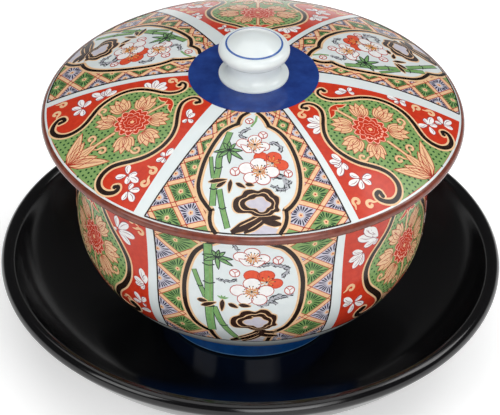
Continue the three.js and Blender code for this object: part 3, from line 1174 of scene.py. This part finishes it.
def framed(drawing, path, width, layer, margin=0.7, swell=None):
    """A dark line with a peach line on either side."""
    whole = width + 2 * margin
    thick = [(s * width + 2 * margin) / whole for s in swell] if swell else None
    drawing.stroke("peach", path, whole, layer, swell=thick)
    drawing.stroke("black", path, width, layer + 1, swell=swell)


def window(drawing, left, right, field, width):
    """White ground and dark frame of a window."""
    foot = [left[-1] + (0, -3), right[-1] + (0, -3)]
    drawing.fill("white", clipped(np.concatenate([left, foot, right[::-1]]), field), PANE)
    for side in (left, right):
        framed(drawing, side, width, PANE + 1)


def leaf_loop(root, tip, width, form=POINTED):
    """A leaf outline from root to tip; the form says how its half width runs."""
    root, tip = np.array(root, dtype=float), np.array(tip, dtype=float)
    way = tip - root
    side = np.array((-way[1], way[0])) / np.linalg.norm(way) * width / 2
    one = curve([root, *(root + way * a + side * b for a, b in form), tip], per=3)
    other = one - 2 * np.outer((one - root) @ side / (side @ side), side)
    return np.concatenate([one, other[-2:0:-1]])


def edged(drawing, colour, loop, layer, edge, width, rise):
    """A filled shape with a fine line round it."""
    drawing.fill(colour, loop, layer)
    drawing.stroke(edge, ring_path(loop), width, layer + rise)


def dark_leaf(drawing, root, tip, width, layer):
    """A dark leaf with a peach halo."""
    drawing.stroke("peach", [root, tip], width + 0.5, layer, swell=(0.3, 0.9, 1, 0.8, 0.3))
    drawing.fill("rock", leaf_loop(root, tip, width), layer + 1)


def stalk(drawing, path, width, nodes, layer):
    """A bamboo stalk: inked edge, bright body, a light streak and ringed nodes."""
    path = curve(path)
    drawing.stroke("ink", path, width + 0.45, layer)
    drawing.stroke("bamboo", path, width, layer + 1)
    drawing.stroke("green", path + (width * 0.18, 0), width * 0.22, layer + 2, (0.3, 0.3))
    for x, y in nodes:
        half = width * 0.78
        bow = curve([(x - half, y + 0.35), (x, y - 0.25), (x + half, y + 0.35)], per=3)
        drawing.stroke("ink", bow, 0.36, layer + 3)


def round_loop(x, y, r, squash=1.0):
    """A round outline."""
    turns = around(14)
    return np.stack([x + r * np.cos(turns), y + r * squash * np.sin(turns)], axis=1)


def blossom(drawing, heart, petals, layer, colour, pointed, stamens):
    """Red edged petals, round or pointed, and golden stamens with dark tips."""
    loops = [round_loop(x, y, r, 0.86) for x, y, r in petals]
    loops += [leaf_loop(root, tip, 2.3) for root, tip in pointed]
    for step, loop in enumerate(loops):
        edged(drawing, colour, loop, layer + 0.3 * step, "red_line", FINE, 0.2)
    for k in range(stamens):
        turn = 2 * math.pi * (k + dice.uniform(-0.2, 0.2)) / stamens
        way = heading(turn)
        reach = STAMEN * dice.uniform(0.85, 1.1)
        drawing.mark("ochre", "dash", heart + way * 0.35, turn, reach, 0.34, layer + 2.5)
        drawing.mark("ink", "dot", heart + way * (reach + 0.4), 0, 0.44, 0.44, layer + 3)
    drawing.mark("ink", "dot", heart, 0, 0.7, 0.7, layer + 3)


def bud(drawing, x, y, r, layer):
    """A closed bud: white, red edged, with the folds of its petals."""
    edged(drawing, "petal", round_loop(x, y, r), layer, "red_line", 0.28, 1)
    fold = curve([(x - r * 0.6, y + r * 0.7), (x, y), (x + r * 0.1, y - r)], per=3)
    drawing.stroke("red_line", fold, FINE, layer + 1)
    drawing.stroke("red_line", [(x + r * 0.7, y + r * 0.6), (x, y)], FINE, layer + 1)


ROCK_RIM = [(-7.1, 0), (-6.3, 1.4), (-4.5, 2.2), (-3.7, 3.7), (-1.5, 4.2), (0.5, 3.7), (2.2, 4.7),
            (4.3, 4.2), (5.5, 2.7), (6.9, 2), (7, 0), (6.7, -1.3), (7.4, -2.6), (5.7, -3),
            (4.3, -4.2), (0, -4.6), (-2, -3.6), (-5.5, -3.6), (-7, -2.2)]
ROCK_HOLE = [(-3.2, -0.6), (-2, 0.5), (-0.5, 0.7), (0.2, 1.5), (2.0, 1.5), (2.9, 0.4), (4.3, -0.2),
             (4.1, -1.2), (3.2, -1.7), (2.5, -2.9), (1.1, -3.1), (0.1, -2.1), (-1.6, -1.9)]
ROCK_ROOTS = [([(2.4, -3.2), (1.4, -4.8), (-0.6, -6.2), (-3.4, -7.6), (-7.6, -9.6)], 2.9),
              ([(3.2, -3.6), (2.2, -5.8), (0.4, -7.4), (-1.4, -8.6), (-3.6, -9.8)], 1.7),
              ([(2.2, -4), (4.8, -4.7), (7.6, -4.8)], 1.5),
              ([(1.4, -5.2), (4.6, -6.4), (7.8, -6.7)], 2.0)]
ROCK_GROUND = [(0.2, -8.2), (2.4, -7.4), (4.8, -7.6), (6.8, -8.2), (6.2, -10.2), (-1.6, -10.2)]
ROCK_RINGS = (("peach", 1.1), ("rock", 1.0), ("peach", 0.58), ("rock", 0.48), ("peach", 0.1),
              ("lavender", 0.02))


def between(inner, outer, middle, share):
    """A loop part of the way from an inner outline to an outer one."""
    ways = polar(around(60), 1)
    near = np.array([reach_in(inner, middle, way) for way in ways])
    far = np.array([reach_in(outer, middle, way) for way in ways])
    return middle + ways * (near + (far - near) * share)[:, None]


def rock(drawing, at, size, drop, layer):
    """A garden rock: two dark crinkled rings with a light gap between, on spread roots."""
    spread = np.array((size, size * drop))
    drawing.fill("lavender", np.array(ROCK_GROUND) * spread + at, layer - 2.5)
    roots = [(curve(np.array(root) * spread + at), width) for root, width in ROCK_ROOTS]
    for path, width in roots:
        drawing.stroke("peach", path, width + 0.6, layer, (1, 0.5))
        drawing.stroke("rock", path, width, layer + 1, (1, 0.4))
    for path, width in roots[:2]:
        drawing.stroke("peach", (path + (0, width * 0.2))[6:-3], 0.3, layer + 2, (0.4, 0.4))
    rim = curve(np.array(ROCK_RIM) * size + at, True, 4)
    hole = curve(np.array(ROCK_HOLE) * size + at, True, 4)
    middle = at + (0.8, -0.8)
    for step, (colour, share) in enumerate(ROCK_RINGS):
        drawing.fill(colour, between(hole, rim, middle, share), layer + 3 + step)


def twig(drawing, path, width, layer):
    """A gnarled grey twig: a wavering inked edge, a pale body and a few spurs."""
    path = paced(curve(path, per=3), 0.9)
    way = np.gradient(path, axis=0)
    side = np.stack([-way[:, 1], way[:, 0]], axis=1) / np.linalg.norm(way, axis=1)[:, None]
    path = path + side * np.array([dice.uniform(-0.3, 0.3) for _ in path])[:, None]
    swell = [dice.uniform(0.6, 1.2) for _ in path]
    drawing.stroke("ink", path, width + 0.5, layer, swell=swell)
    drawing.stroke("grey", path, width - 0.1, layer + 1, swell=swell[::-1])
    for k in range(1, len(path) - 1, 2):
        reach = (side[k] * dice.choice((-1, 1)) + way[k]) * (width * 0.5 + 0.5)
        drawing.stroke("ink", [path[k], path[k] + reach], FINE, layer + 2, (1, 0.4))


def garden(drawing, places):
    """The bamboo, plum blossom and rock of one window, from its table of places."""
    at = drawing.at
    for path, width, nodes, layer in places["stalks"]:
        stalk(drawing, at(path), width, at(nodes), layer)
    root, tips, width, layer = places["leaves"]
    for tip in tips:
        edged(drawing, "bamboo", leaf_loop(*at([root, tip]), width), layer, "ink", 0.26, 1)
    pairs, width, layer = places["dark_leaves"]
    for ends in pairs:
        dark_leaf(drawing, *at(ends), width, layer)
    for path, width in places["twigs"]:
        twig(drawing, at(path), width, TWIG)
    for heart, petals, layer, colour, pointed, stamens in places["blossoms"]:
        petals = [(*at((x, y))[0], r) for x, y, r in petals]
        pointed = [at(ends) for ends in pointed]
        blossom(drawing, at(heart)[0], petals, layer, colour, pointed, stamens)
    for x, y, r in places["buds"]:
        bud(drawing, *at((x, y))[0], r, BUD)
    spot, size, drop = places["rock"]
    rock(drawing, at(spot)[0], size, drop, ROCK)


print("a rock has", len(ROCK_RINGS), "rings and", len(ROCK_ROOTS), "roots")

# %% Lid window
LID_GARDEN = {
    "stalks": [
        ([(-12.8, 39.5), (-12.5, 43.5), (-12, 47.5)], 0.9, [], 7),
        ([(-7, 29.8), (-8.6, 35), (-10.2, 40), (-10.4, 44), (-11, 47.5), (-11.7, 51.3), (-12, 57)],
         1.7, [(-9.4, 37.6), (-10.4, 43.9), (-11.7, 51.3)], 7),
        ([(-10, 51.5), (-8.9, 57.8), (-7.2, 64.3)], 1.5, [(-8.9, 58)], 7)],
    "leaves": ((-7.25, 37.25), [(-12, 37.75), (-10.5, 40), (-3, 37.5), (-2.8, 41), (-7, 42.5),
                                (-5.2, 34.6), (-9, 34.2), (-7.2, 33.6)], 1.3, 10),
    "dark_leaves": ([((-13.5, 48.8), (-7.5, 48.2)), ((-11, 50.8), (-7.8, 48.8)),
                     ((-6.5, 48.2), (-7, 53)), ((-5, 49.5), (-1.8, 51.3)),
                     ((-2, 49.9), (0.8, 50.4))], 1.3, 11),
    "twigs": [
        ([(-0.6, 28.4), (-2.4, 29.2), (-3.6, 30.6), (-3.2, 32), (-2, 32.8)], 0.8),
        ([(5.2, 34.3), (7, 34.2), (8.9, 35.6), (8.6, 37.4)], 0.8),
        ([(5.9, 47.5), (7.9, 46.5), (9.9, 47.2), (10.8, 49), (11.1, 51)], 1.4),
        ([(10.8, 49.2), (12.4, 48.2)], 0.7), ([(10.9, 50.8), (9.4, 51.4), (7.6, 51)], 0.9),
        ([(8.2, 50.6), (5.8, 50)], 0.5)],
    "blossoms": [
        ((6.25, 42), [(2.75, 40, 2.3), (6.75, 39.75, 2.4), (9, 42.5, 2.3)], 7, "orange", [], 9),
        ((0.75, 35), [(0.75, 33, 2.1), (-3, 34.5, 2.0), (3.4, 35.7, 2.0)], 9, "petal",
         [((-0.1, 38.2), (-3.7, 35.1)), ((0.4, 38.2), (4.2, 36.3))], 14),
        ((2.4, 45.4), [(2, 42.5, 2.6), (-1.75, 44.25, 2.4), (6.1, 45.25, 2.4), (-0.25, 47.7, 2.3),
                       (3.5, 48.05, 2.3)], 10, "petal", [], 14)],
    "buds": [(-1.1, 25, 1.2), (3.25, 31, 1.4), (-5.25, 45.4, 1.5), (11.25, 45.5, 1.3)],
    "rock": ((1.5, 56), 1.0, 1.0),
}
LID_SHOOT = [(1.25, 22.5), (0.9, 25), (-0.5, 27.5)]

window(lid_drawing, *lid_window, lid_field, 1.2)
garden(lid_drawing, LID_GARDEN)
lid_drawing.stroke("bamboo", lid_drawing.at(LID_SHOOT), 0.7, TWIG)
print("lid window: colours", ", ".join(lid_drawing.slabs))

# %% [markdown]
# ## The red panels
# Between the lattices lies red, and in it a green medallion between two dark scrolls: a
# peony in the middle, leaves round it, blades below. White half palmettes and little curls
# sit on the red outside.

# %% Motifs of the red panel
NEXT_PANEL = math.pi / PANELS_ROUND
LEAF, SCROLL, FLOWER = 4, 5, 6  # layers
SCROLL_SWELL = (0.6, 0.9, 1, 1.15, 1.25, 1)
SPRAY_LOBES = ((0.7, -0.72), (0.7, 0.72), (0.92, -0.36), (0.92, 0.36), (1.0, 0.0))
BUD_CAP = [(-4.8, -0.1), (-3.5, 0.9), (-1.8, 2.3), (0.1, 2.6), (2, 1.9), (3.4, 0.5), (4.5, -0.5),
           (2.2, -0.3), (1, 0.5), (0, -0.1), (-1, 0.5), (-2.4, -0.3)]
PEONY_RINGS = ((0.95, 13), (0.7, 10), (0.46, 7), (0.25, 5))


def curl(drawing, at, radius, turns, start, layer, edge):
    """A comma: a thin tail that thickens as it winds into a round end."""
    steps = np.linspace(0, 1, 12)
    path = at + polar(start + turns * 1.7 * math.pi * steps, radius * (1.1 - 0.6 * steps))
    back = math.copysign(1, turns) * np.array((math.sin(start), -math.cos(start)))
    tail = path[0] + back * radius * 1.7 + heading(start) * radius * 0.5
    path = np.concatenate([curve([tail, path[0] + back * radius * 0.8, path[0]], per=3), path[1:]])
    drawing.stroke(edge, path, 0.98, layer, (0.3, 1))
    drawing.stroke("peach", path, 0.72, layer + 1, (0.2, 1))
    drawing.mark("peach", "dot", path[-1], 0, 1.0, 1.0, layer + 1)


def spray(drawing, root, tip, layer):
    """A peach leaf of five lobes with red edges, the middle one on top and veined."""
    way = tip - root
    for share, turn in SPRAY_LOBES:
        c, s = math.cos(turn), math.sin(turn)
        reach = share * np.array((way[0] * c - way[1] * s, way[0] * s + way[1] * c))
        loop = leaf_loop(root + way * 0.06, root + reach + way * 0.1 * abs(turn),
                         np.linalg.norm(way) * 0.4)
        edged(drawing, "peach", loop, layer + 1 - abs(turn), "red_line", 0.2, 0.3)
    drawing.stroke("red_line", [root + way * 0.1, root + way * 0.8], FINE, layer + 1.5, (1, 0.4))


def blade(drawing, root, tip, width, layer):
    """A long leaf from the border, with two fine veins."""
    edged(drawing, "peach", leaf_loop(root, tip, width), layer, "red_line", 0.22, 0.4)
    for bend in (-0.5, 0.5):
        middle = (root + tip) / 2 + np.array((bend, bend * 0.4))
        vein = curve([root, middle, root + (tip - root) * 0.85], per=3)
        drawing.stroke("red_line", vein, 0.18, layer + 0.4, (1, 0.3))


def stem(drawing, path, width, layer):
    """A straight peach stem with red edges."""
    drawing.stroke("red_line", path, width + 0.4, layer)
    drawing.stroke("peach", path, width, layer + 1)


def palmette(drawing, foot, tips, layer):
    """White fingers that lie side by side, each edged on one side and with a mauve fold."""
    for step, tip in enumerate(tips):
        base = foot + (tip - tips.mean(axis=0)) * 0.2
        reach = tip - base
        side = np.array((-reach[1], reach[0])) / np.linalg.norm(reach)
        bend = base + reach * 0.5 + side * 0.35
        loop = leaf_loop(base - reach * 0.12, tip, 1.0 + np.linalg.norm(reach) * 0.29, PLUMP)
        rise = layer + 0.4 * step
        drawing.fill("petal", loop, rise)
        drawing.stroke("plum", loop[:len(loop) // 2 + 1], FINE, rise + 0.2)
        fold = curve([base + reach * 0.15, bend, base + reach * 0.85], per=2)
        drawing.stroke("plum", fold, 0.2, rise + 0.2, (0.5, 0.3))


def bud_cap(drawing, at, size, layer):
    """The red bud on the peony's stem: a cap of folded petals with a peach edge."""
    cap = np.array(BUD_CAP) * size + at
    edged(drawing, "red", curve(cap, True, 3), layer, "peach", 0.3, 1)
    for k in (2, 4):
        drawing.stroke("peach", [cap[9], cap[k] * 0.7 + cap[9] * 0.3], 0.26, layer + 1, (1, 0.4))


def hook_ends(drawing, ends, width, layer):
    """The round ends of a scroll."""
    for end in ends:
        drawing.mark("peach", "dot", end, 0, width + 1.1, width + 1.1, layer)
        drawing.mark("black", "dot", end, 0, width, width, layer + 1)


def scalloped(at, radius, count, dip):
    """A round outline of bulging petals."""
    turns = around(count * 6)
    return at + polar(turns, radius * (1 - dip + dip * np.abs(np.sin(turns * count / 2))))


def peony(drawing, at, radius, layer):
    """Rings of red petals with pale edges round a small pale heart."""
    drawing.fill("red", scalloped(at, radius, 13, 0.16), layer)
    for share, count in PEONY_RINGS:
        loop = scalloped(at, radius * share, count, 0.2)
        drawing.stroke("pale_pink", ring_path(loop), 0.3 * share, layer + 1)
    for k in range(9):
        turn = math.pi * (1.1 + 0.8 * k / 8)
        spot = at + radius * 0.55 * heading(turn)
        drawing.mark("pale_pink", "dash", spot, turn, radius * 0.14, 0.5, layer + 2)
    drawing.mark("peach", "rosette", at, 0, radius * 0.24, radius * 0.24, layer + 2)


def dotted(drawing, ground, middle, clear, gap, layer):
    """Dots all over a ground, in staggered rows, clear of a round place in the middle."""
    low, high = ground.min(axis=0), ground.max(axis=0)
    for j, y in enumerate(np.arange(low[1], high[1], gap * ROW_STEP)):
        for x in np.arange(low[0], high[0], gap):
            spot = np.array((x + (j % 2) * gap / 2 + dice.uniform(-0.2, 0.2),
                             y + dice.uniform(-0.2, 0.2)))
            if np.hypot(*(spot - middle)) > clear and inside(spot[None], ground)[0]:
                drawing.mark("deep_green", "dot", spot, 0, 0.78, 0.78, layer)


def medallion(drawing, ground, places):
    """A medallion on its green ground and the ornament round it, from its table of places."""
    at = drawing.at
    drawing.fill("green", ground, CELL)
    width, margin, hook = places["scroll_line"]
    for path in places["scrolls"]:
        framed(drawing, at(curve(path)), width, SCROLL, margin, SCROLL_SWELL)
        hook_ends(drawing, at([path[0], path[-1]]), hook, SCROLL)
    spot, clear, gap = places["dots"]
    dotted(drawing, ground, at(spot)[0], clear, gap, TOUCH)
    root, tips, width = places["blades"]
    for tip in tips:
        blade(drawing, *at([root, tip]), width, LEAF)
    paths, width = places["stems"]
    for path in paths:
        stem(drawing, at(path), width, LEAF)
    spot, size = places["bud_cap"]
    bud_cap(drawing, at(spot)[0], size, FLOWER)
    for ends in places["sprays"]:
        spray(drawing, *at(ends), LEAF)
    spot, radius = places["peony"]
    peony(drawing, at(spot)[0], radius, FLOWER)
    radius, rows = places["inner_curls"]
    for spot, start, turns in rows:
        curl(drawing, at(spot)[0], radius, turns, start, LEAF, "red_line")
    for foot, tips in places["palmettes"]:
        palmette(drawing, at(foot)[0], at(tips), TOUCH)
    radius, rows = places["outer_curls"]
    for spot, start, turns in rows:
        curl(drawing, at(spot)[0], radius, turns, start, TOUCH, "peach")


print("a spray has", len(SPRAY_LOBES), "lobes, a peony", len(PEONY_RINGS), "rings of petals")

# %% Lid red panel
LID_RED = ([(-9.6, 18.1), (-33, 57.5)], [(7.5, 19.0), (30, 59.5)])
LID_MEDALLION = {
    "scrolls": [
        [(-6.75, 23.25), (-7.5, 22), (-6, 21.5), (-4.25, 22.75), (-3.75, 25), (-4.75, 27.5),
         (-7, 29.5), (-10, 31.25), (-13, 33.5), (-15.25, 36.5), (-16.4, 40), (-16.5, 44),
         (-15.75, 47.5), (-14.25, 50.5), (-12.75, 53.5), (-12.1, 56.5), (-12.75, 59.5),
         (-14.5, 61.5), (-17, 62.5), (-19.75, 62.25), (-21.75, 60.5), (-22.5, 58.5),
         (-21.75, 57.25), (-20.25, 57.5), (-20.75, 59)],
        [(4.5, 23.25), (5, 22.25), (3.5, 21.75), (2, 22.5), (1.4, 24.5), (2, 27), (4, 29.25),
         (7, 31.5), (10.25, 33.75), (13, 36.75), (14.75, 40.5), (15.25, 44.5), (14.75, 48),
         (13.25, 51.5), (11.6, 54.5), (10.7, 57), (10.9, 59.8), (12.3, 62.2), (14.8, 63.3),
         (17.6, 62.8), (19.5, 61), (19.7, 59.4), (18.7, 58.8), (18.1, 59.6)]],
    "scroll_line": (1.2, 0.6, 1.5),
    "dots": ((-1, 43.5), 6.4, 1.75),
    "blades": ((-1.3, 66.2), [(-9.6, 56.6), (8.2, 56.2), (-5.4, 58), (3.4, 58), (-1, 55.2)], 3.6),
    "stems": ([[(-1.1, 38), (-1.1, 31.5)], [(-1, 49.5), (-1, 57)]], 0.75),
    "bud_cap": ((-1, 31.5), 1.0),
    "sprays": [((-6.9, 42.8), (-14.3, 42.3)), ((-3.8, 38.8), (-8.3, 32.8)),
               ((1.8, 38.8), (6.2, 33.6)), ((4.9, 42.8), (12.2, 42.3)),
               ((-4.9, 47.2), (-10.4, 51.4)), ((2.9, 47.4), (8.4, 52.4))],
    "peony": ((-1, 43.3), 6.1),
    "inner_curls": (1.3, [((-13, 47.4), -1.4, -0.9), ((10.4, 48), -1.6, 0.9),
                          ((-4.6, 56), 0.2, 0.9), ((2.6, 56), 2.9, -0.9)]),
    "palmettes": [
        ((-10, 30.6), [(-15.2, 31), (-14, 27.6), (-7.2, 29.2), (-8.2, 26.8), (-10.9, 25.9)]),
        ((-19.6, 43.4), [(-24.4, 45.5), (-20.6, 46.2), (-22.4, 42.6), (-22, 40.4), (-19, 39.4)]),
        ((-20.6, 51), [(-16.9, 52.6), (-19.7, 54.4), (-23.6, 53.2), (-25.2, 49.4), (-21.6, 47.4)]),
        ((9.4, 29), [(6, 26.4), (8.6, 26.2), (12, 28.6), (10.2, 31.2)]),
        ((19, 42.6), [(17, 42.4), (17.8, 38.8), (20.8, 44), (18.9, 45.4)]),
        ((17.4, 54.6), [(13.9, 52.6), (15.2, 57.9), (20, 56.2), (21.8, 53.2), (18.8, 52)]),
        ((22.6, 57), [(21, 54.8), (24.6, 54.2), (26.8, 57.6), (24, 60)])],
    "outer_curls": (1.2, [((-10.3, 24), 1.2, 0.9), ((-28.4, 54), 2.8, -0.9),
                          ((-26.2, 57.6), 0.4, 0.9), ((21.3, 48), 2.4, -0.9),
                          ((23.4, 52), 1.2, -0.9)]),
}

lid_drawing.turn = NEXT_PANEL
lid_red_field = fan_panel(*(lid_drawing.at(border) for border in LID_RED), LID_FIELD_END)
lid_drawing.fill("red", lid_red_field, GROUND)
left, right = (lid_drawing.at(curve(path[3:19])) for path in LID_MEDALLION["scrolls"])
rim = [(left[-1][0] * 1.03, -64.0), (-6, -66), (6, -66), (right[-1][0] * 1.02, -64.6)]
green_ground = np.concatenate([left, rim, right[::-1], [(1, -19), (-3, -19)]])
medallion(lid_drawing, clipped(green_ground, lid_red_field), LID_MEDALLION)
print("lid red panel:", sum(len(v) for v in lid_drawing.marks.values()), "touches so far")

# %% [markdown]
# ## The bowl
# The bowl repeats the lid's panels in line below them. On its wall the borders run straight
# up and down, and heights are measured along the wall from the foot.

# %% Bowl lattice
BOWL_BORDERS = ([(-30, BOWL_FIELD_START), (-31, BOWL_FIELD_END)],
                [(26.2, BOWL_FIELD_START), (27.3, BOWL_FIELD_END)])
BOWL_WINDOW = (
    [[(-3.4, 76.4), (-5.5, 74.8), (-9, 73.6), (-12, 72), (-14.5, 70), (-16.75, 67.5), (-18.5, 64),
      (-20, 59), (-20.9, 54), (-21, 49), (-20.5, 44.5), (-19.25, 40.5), (-17.5, 37), (-15, 34.5),
      (-12.75, 33.3)],
     [(-12.75, 33.3), (-12.25, 31), (-11.25, 28), (-10.75, 26.8)]],
    [[(-0.6, 76.4), (1.5, 74.8), (4.5, 73.6), (7.5, 72), (10, 70.8), (12.5, 68), (14.5, 64.5),
      (16, 60), (16.75, 55), (16.6, 49.5), (15.75, 44.5), (14.25, 40.5), (12.25, 37), (10, 35),
      (7.75, 33.8)],
     [(7.75, 33.8), (7.25, 31.5), (6.75, 29), (6.4, 26.8)]],
)
BOWL_PERIOD = 12.1
BOWL_DEPTH = 8.3
BOWL_SHIFT = 0.9


def wall_panel(left, right):
    """The field between two borders, each given as its place at the foot and at the top."""
    low, high = BOWL_FIELD_START + 0.1, BOWL_FIELD_END
    return np.array([(left[0], low), (right[0], low), (right[1], high), (left[1], high)])


bowl_window = [joined(*side) for side in BOWL_WINDOW]
behind = np.concatenate([bowl_window[0], bowl_window[1][::-1]])
bowl_field = wall_panel(*([x for x, _ in border] for border in BOWL_BORDERS))
middle = bowl_field.mean(axis=0)[0]
bowl_drawing.fill("peach", bowl_field, GROUND)
for (foot, top), inward, start, end, first in ((BOWL_BORDERS[0], (1, 0), -FAR, middle, 0.7),
                                               (BOWL_BORDERS[1], (-1, 0), middle, FAR, 0.2)):
    half = clipped(bowl_field, wall_panel((start, start), (end, end)))
    lattice(bowl_drawing, top, foot, inward, half, behind, first, BOWL_PERIOD, BOWL_DEPTH, 0,
            BOWL_SHIFT)
    bowl_drawing.stroke("black", [top, foot], 0.5, BORDER)
print("bowl lattice:", sum(len(v) for v in bowl_drawing.marks.values()), "touches")

# %% Bowl window
BOWL_GARDEN = {
    "stalks": [
        ([(-17.75, 59.5), (-16, 54), (-14, 49)], 1.3, [(-15.8, 53.2)], 7),
        ([(-13, 71.4), (-13, 62.5), (-12.9, 55), (-12.8, 45.5), (-12.2, 34.2)], 2.5,
         [(-13, 62.5), (-12.9, 55), (-12.8, 45.5)], 8),
        ([(-11.25, 45.5), (-8.25, 37.5), (-3.5, 29)], 1.7, [(-8.25, 37.5)], 7)],
    "leaves": ((-10.25, 66.3), [(-14.8, 66.5), (-14.5, 64), (-5.3, 65.8), (-5.3, 63), (-9.75, 61),
                                (-11.8, 69), (-9.6, 69.4), (-7.6, 68.8)], 1.4, 12),
    "dark_leaves": ([((-16.75, 47.5), (-13.25, 47.5)), ((-15.5, 45.3), (-10.5, 47.5)),
                     ((-8.5, 49), (-8.75, 44)), ((-6.75, 47.5), (-3.5, 46)),
                     ((-3.5, 47.3), (0.5, 46.8))], 1.5, 12),
    "twigs": [
        ([(-10.5, 57), (-7.5, 56.4), (-4, 57.2)], 0.6),
        ([(2, 63.2), (5, 63.8), (8, 63.4), (11.4, 62), (11.6, 60.4), (9.8, 58.4)], 1.1),
        ([(3, 46.6), (5.6, 48), (8, 50), (10, 50.6)], 1.4), ([(9, 50), (13.8, 50.6)], 0.7),
        ([(6.4, 48.6), (8.6, 47.2)], 0.7), ([(-5, 73.8), (-4.6, 71.8), (-3.6, 69.8)], 0.9)],
    "blossoms": [
        ((5.2, 56.5), [(0.5, 59.3, 2.5), (5, 59, 2.7), (8, 55.7, 2.3)], 7, "orange", [], 9),
        ((0.75, 66.6), [(0.5, 69, 2.4), (-2.9, 67.2, 2.3), (3.8, 66.4, 2.2)], 9, "petal",
         [((0.3, 63.6), (-3.6, 66.4)), ((0.6, 63.6), (4.6, 65.4))], 14),
        ((0.6, 52.6), [(0.65, 55.9, 2.8), (-3.6, 53, 2.6), (5, 52.9, 2.6), (-1.4, 49.7, 2.5),
                       (3, 49.5, 2.5)], 10, "petal", [], 14)],
    "buds": [(8.5, 65.5, 1.6), (-4.75, 60.1, 1.6), (12.5, 52.5, 1.6)],
    "rock": ((1.4, 40.6), 1.03, 1.33),
}
SHOOT_ROOT = (-8.5, 49.2)
BOWL_SHOOTS = [(-10.2, 50.2), (-9, 50.6), (-7.6, 50.4), (-6.6, 49.8)]

window(bowl_drawing, *bowl_window, bowl_field, 1.5)
garden(bowl_drawing, BOWL_GARDEN)
for tip in BOWL_SHOOTS:
    bowl_drawing.fill("bamboo", leaf_loop(SHOOT_ROOT, tip, 0.6), 12)
print("bowl window: colours", ", ".join(bowl_drawing.slabs))

# %% Bowl red panel
BOWL_RED = ((-29.2, -29.8), (25.4, 26))
BOWL_MEDALLION = {
    "scrolls": [
        [(-12.2, 73.6), (-12.9, 74.8), (-11.3, 75.7), (-9.6, 74.4), (-9.2, 72), (-10, 69),
         (-11.5, 64.5), (-14.5, 60.5), (-18, 56.5), (-20, 52), (-20, 48), (-18.5, 44),
         (-15.5, 40.5), (-12.5, 37), (-10.5, 33.5), (-10.2, 30.8), (-11.5, 28.7), (-14.4, 27.9),
         (-17.5, 28.7), (-19.8, 30.8), (-20.3, 33), (-19, 34.2), (-17.9, 33.4), (-18.5, 32.2)],
        [(9.8, 73.6), (10.5, 74.8), (8.9, 75.7), (7.2, 74.4), (6.7, 71.5), (7.25, 67.5), (10.5, 62),
         (14.5, 57.5), (17.5, 52.5), (17.75, 47), (15.5, 42), (11.5, 37.5), (9, 33), (8.2, 30.6),
         (9.4, 28.7), (12.4, 27.9), (15.4, 28.4), (17.8, 30.2), (18.6, 32.4), (17.4, 33.8),
         (16.2, 33), (16.8, 31.9)]],
    "scroll_line": (1.75, 0.65, 1.8),
    "dots": ((-1, 51), 6.6, 1.85),
    "blades": ((-1.1, 27), [(-9.4, 35.4), (7.2, 35.2), (-5.6, 35.4), (3.6, 35.2), (-1, 38.4)], 3.4),
    "stems": ([[(-1, 57), (-1, 64.5)], [(-1, 45), (-1, 36)]], 0.85),
    "bud_cap": ((-1, 64.6), 1.1),
    "sprays": [((-7.2, 51.2), (-15.8, 51.6)), ((-4, 56), (-9.6, 62.4)), ((2, 56), (7.4, 62)),
               ((5.2, 51.2), (13.6, 51.6)), ((-5.2, 46.6), (-11.2, 41)),
               ((3.2, 46.6), (9.2, 40.6))],
    "peony": ((-1, 51.0), 6.4),
    "inner_curls": (1.4, [((-13.4, 45.6), -1.4, -0.9), ((11.4, 45.6), -1.6, 0.9),
                          ((-4.6, 38.8), 0.2, 0.9), ((2.8, 38.8), 2.9, -0.9)]),
    "palmettes": [
        ((-17, 63.6), [(-25, 67.2), (-18, 61.2), (-22, 62.2), (-20.6, 69.6), (-22.8, 70.4)]),
        ((-22.4, 59.6), [(-22.6, 54.8), (-25.6, 54.8), (-27.4, 58.2), (-26.4, 61.8)]),
        ((-24.2, 40.2), [(-24.6, 34.8), (-19.4, 36.8), (-21, 41.8), (-28.4, 40.6), (-28.4, 43.6)]),
        ((14, 63.6), [(11.8, 62.4), (13.6, 69), (19, 59.8), (21.2, 64), (18.8, 68.4)]),
        ((24, 46.6), [(22.8, 43.9), (20.4, 45.2), (19.9, 47.4), (24.6, 50.2), (22.6, 52.2)]),
        ((22, 37.4), [(18.2, 36.4), (23.6, 36), (23.8, 40.6), (19.6, 41)]),
        ((20.8, 32.8), [(25, 34.4)])],
    "outer_curls": (1.3, [((-25.8, 47), 2.6, -0.9), ((23.6, 67.6), 2.2, -0.9),
                          ((20.4, 70.8), 0.4, 0.9), ((15.6, 35.2), 2.6, -0.9)]),
}

bowl_drawing.turn = NEXT_PANEL
bowl_drawing.fill("red", wall_panel(*BOWL_RED), GROUND)
left, right = BOWL_MEDALLION["scrolls"]
green_ground = np.concatenate([curve(left[3:18]), [(-14, 26.8), (12, 26.8)],
                               curve(right[3:16])[::-1], [(6, 76.4), (-8.5, 76.4)]])
medallion(bowl_drawing, green_ground, BOWL_MEDALLION)
print("bowl red panel:", sum(len(v) for v in bowl_drawing.marks.values()), "touches in all")

# %% [markdown]
# ## Lay the enamels
# Now both drawings go on their walls. The rulers and the single marks have done their work
# and are removed, so that only finished pieces are left.

# %% Lay and clean up
for drawing in (lid_drawing, bowl_drawing):
    lay_all(drawing)
for helper in (lid_ruler, bowl_ruler, *mark_shapes.values()):
    bpy.data.objects.remove(helper)
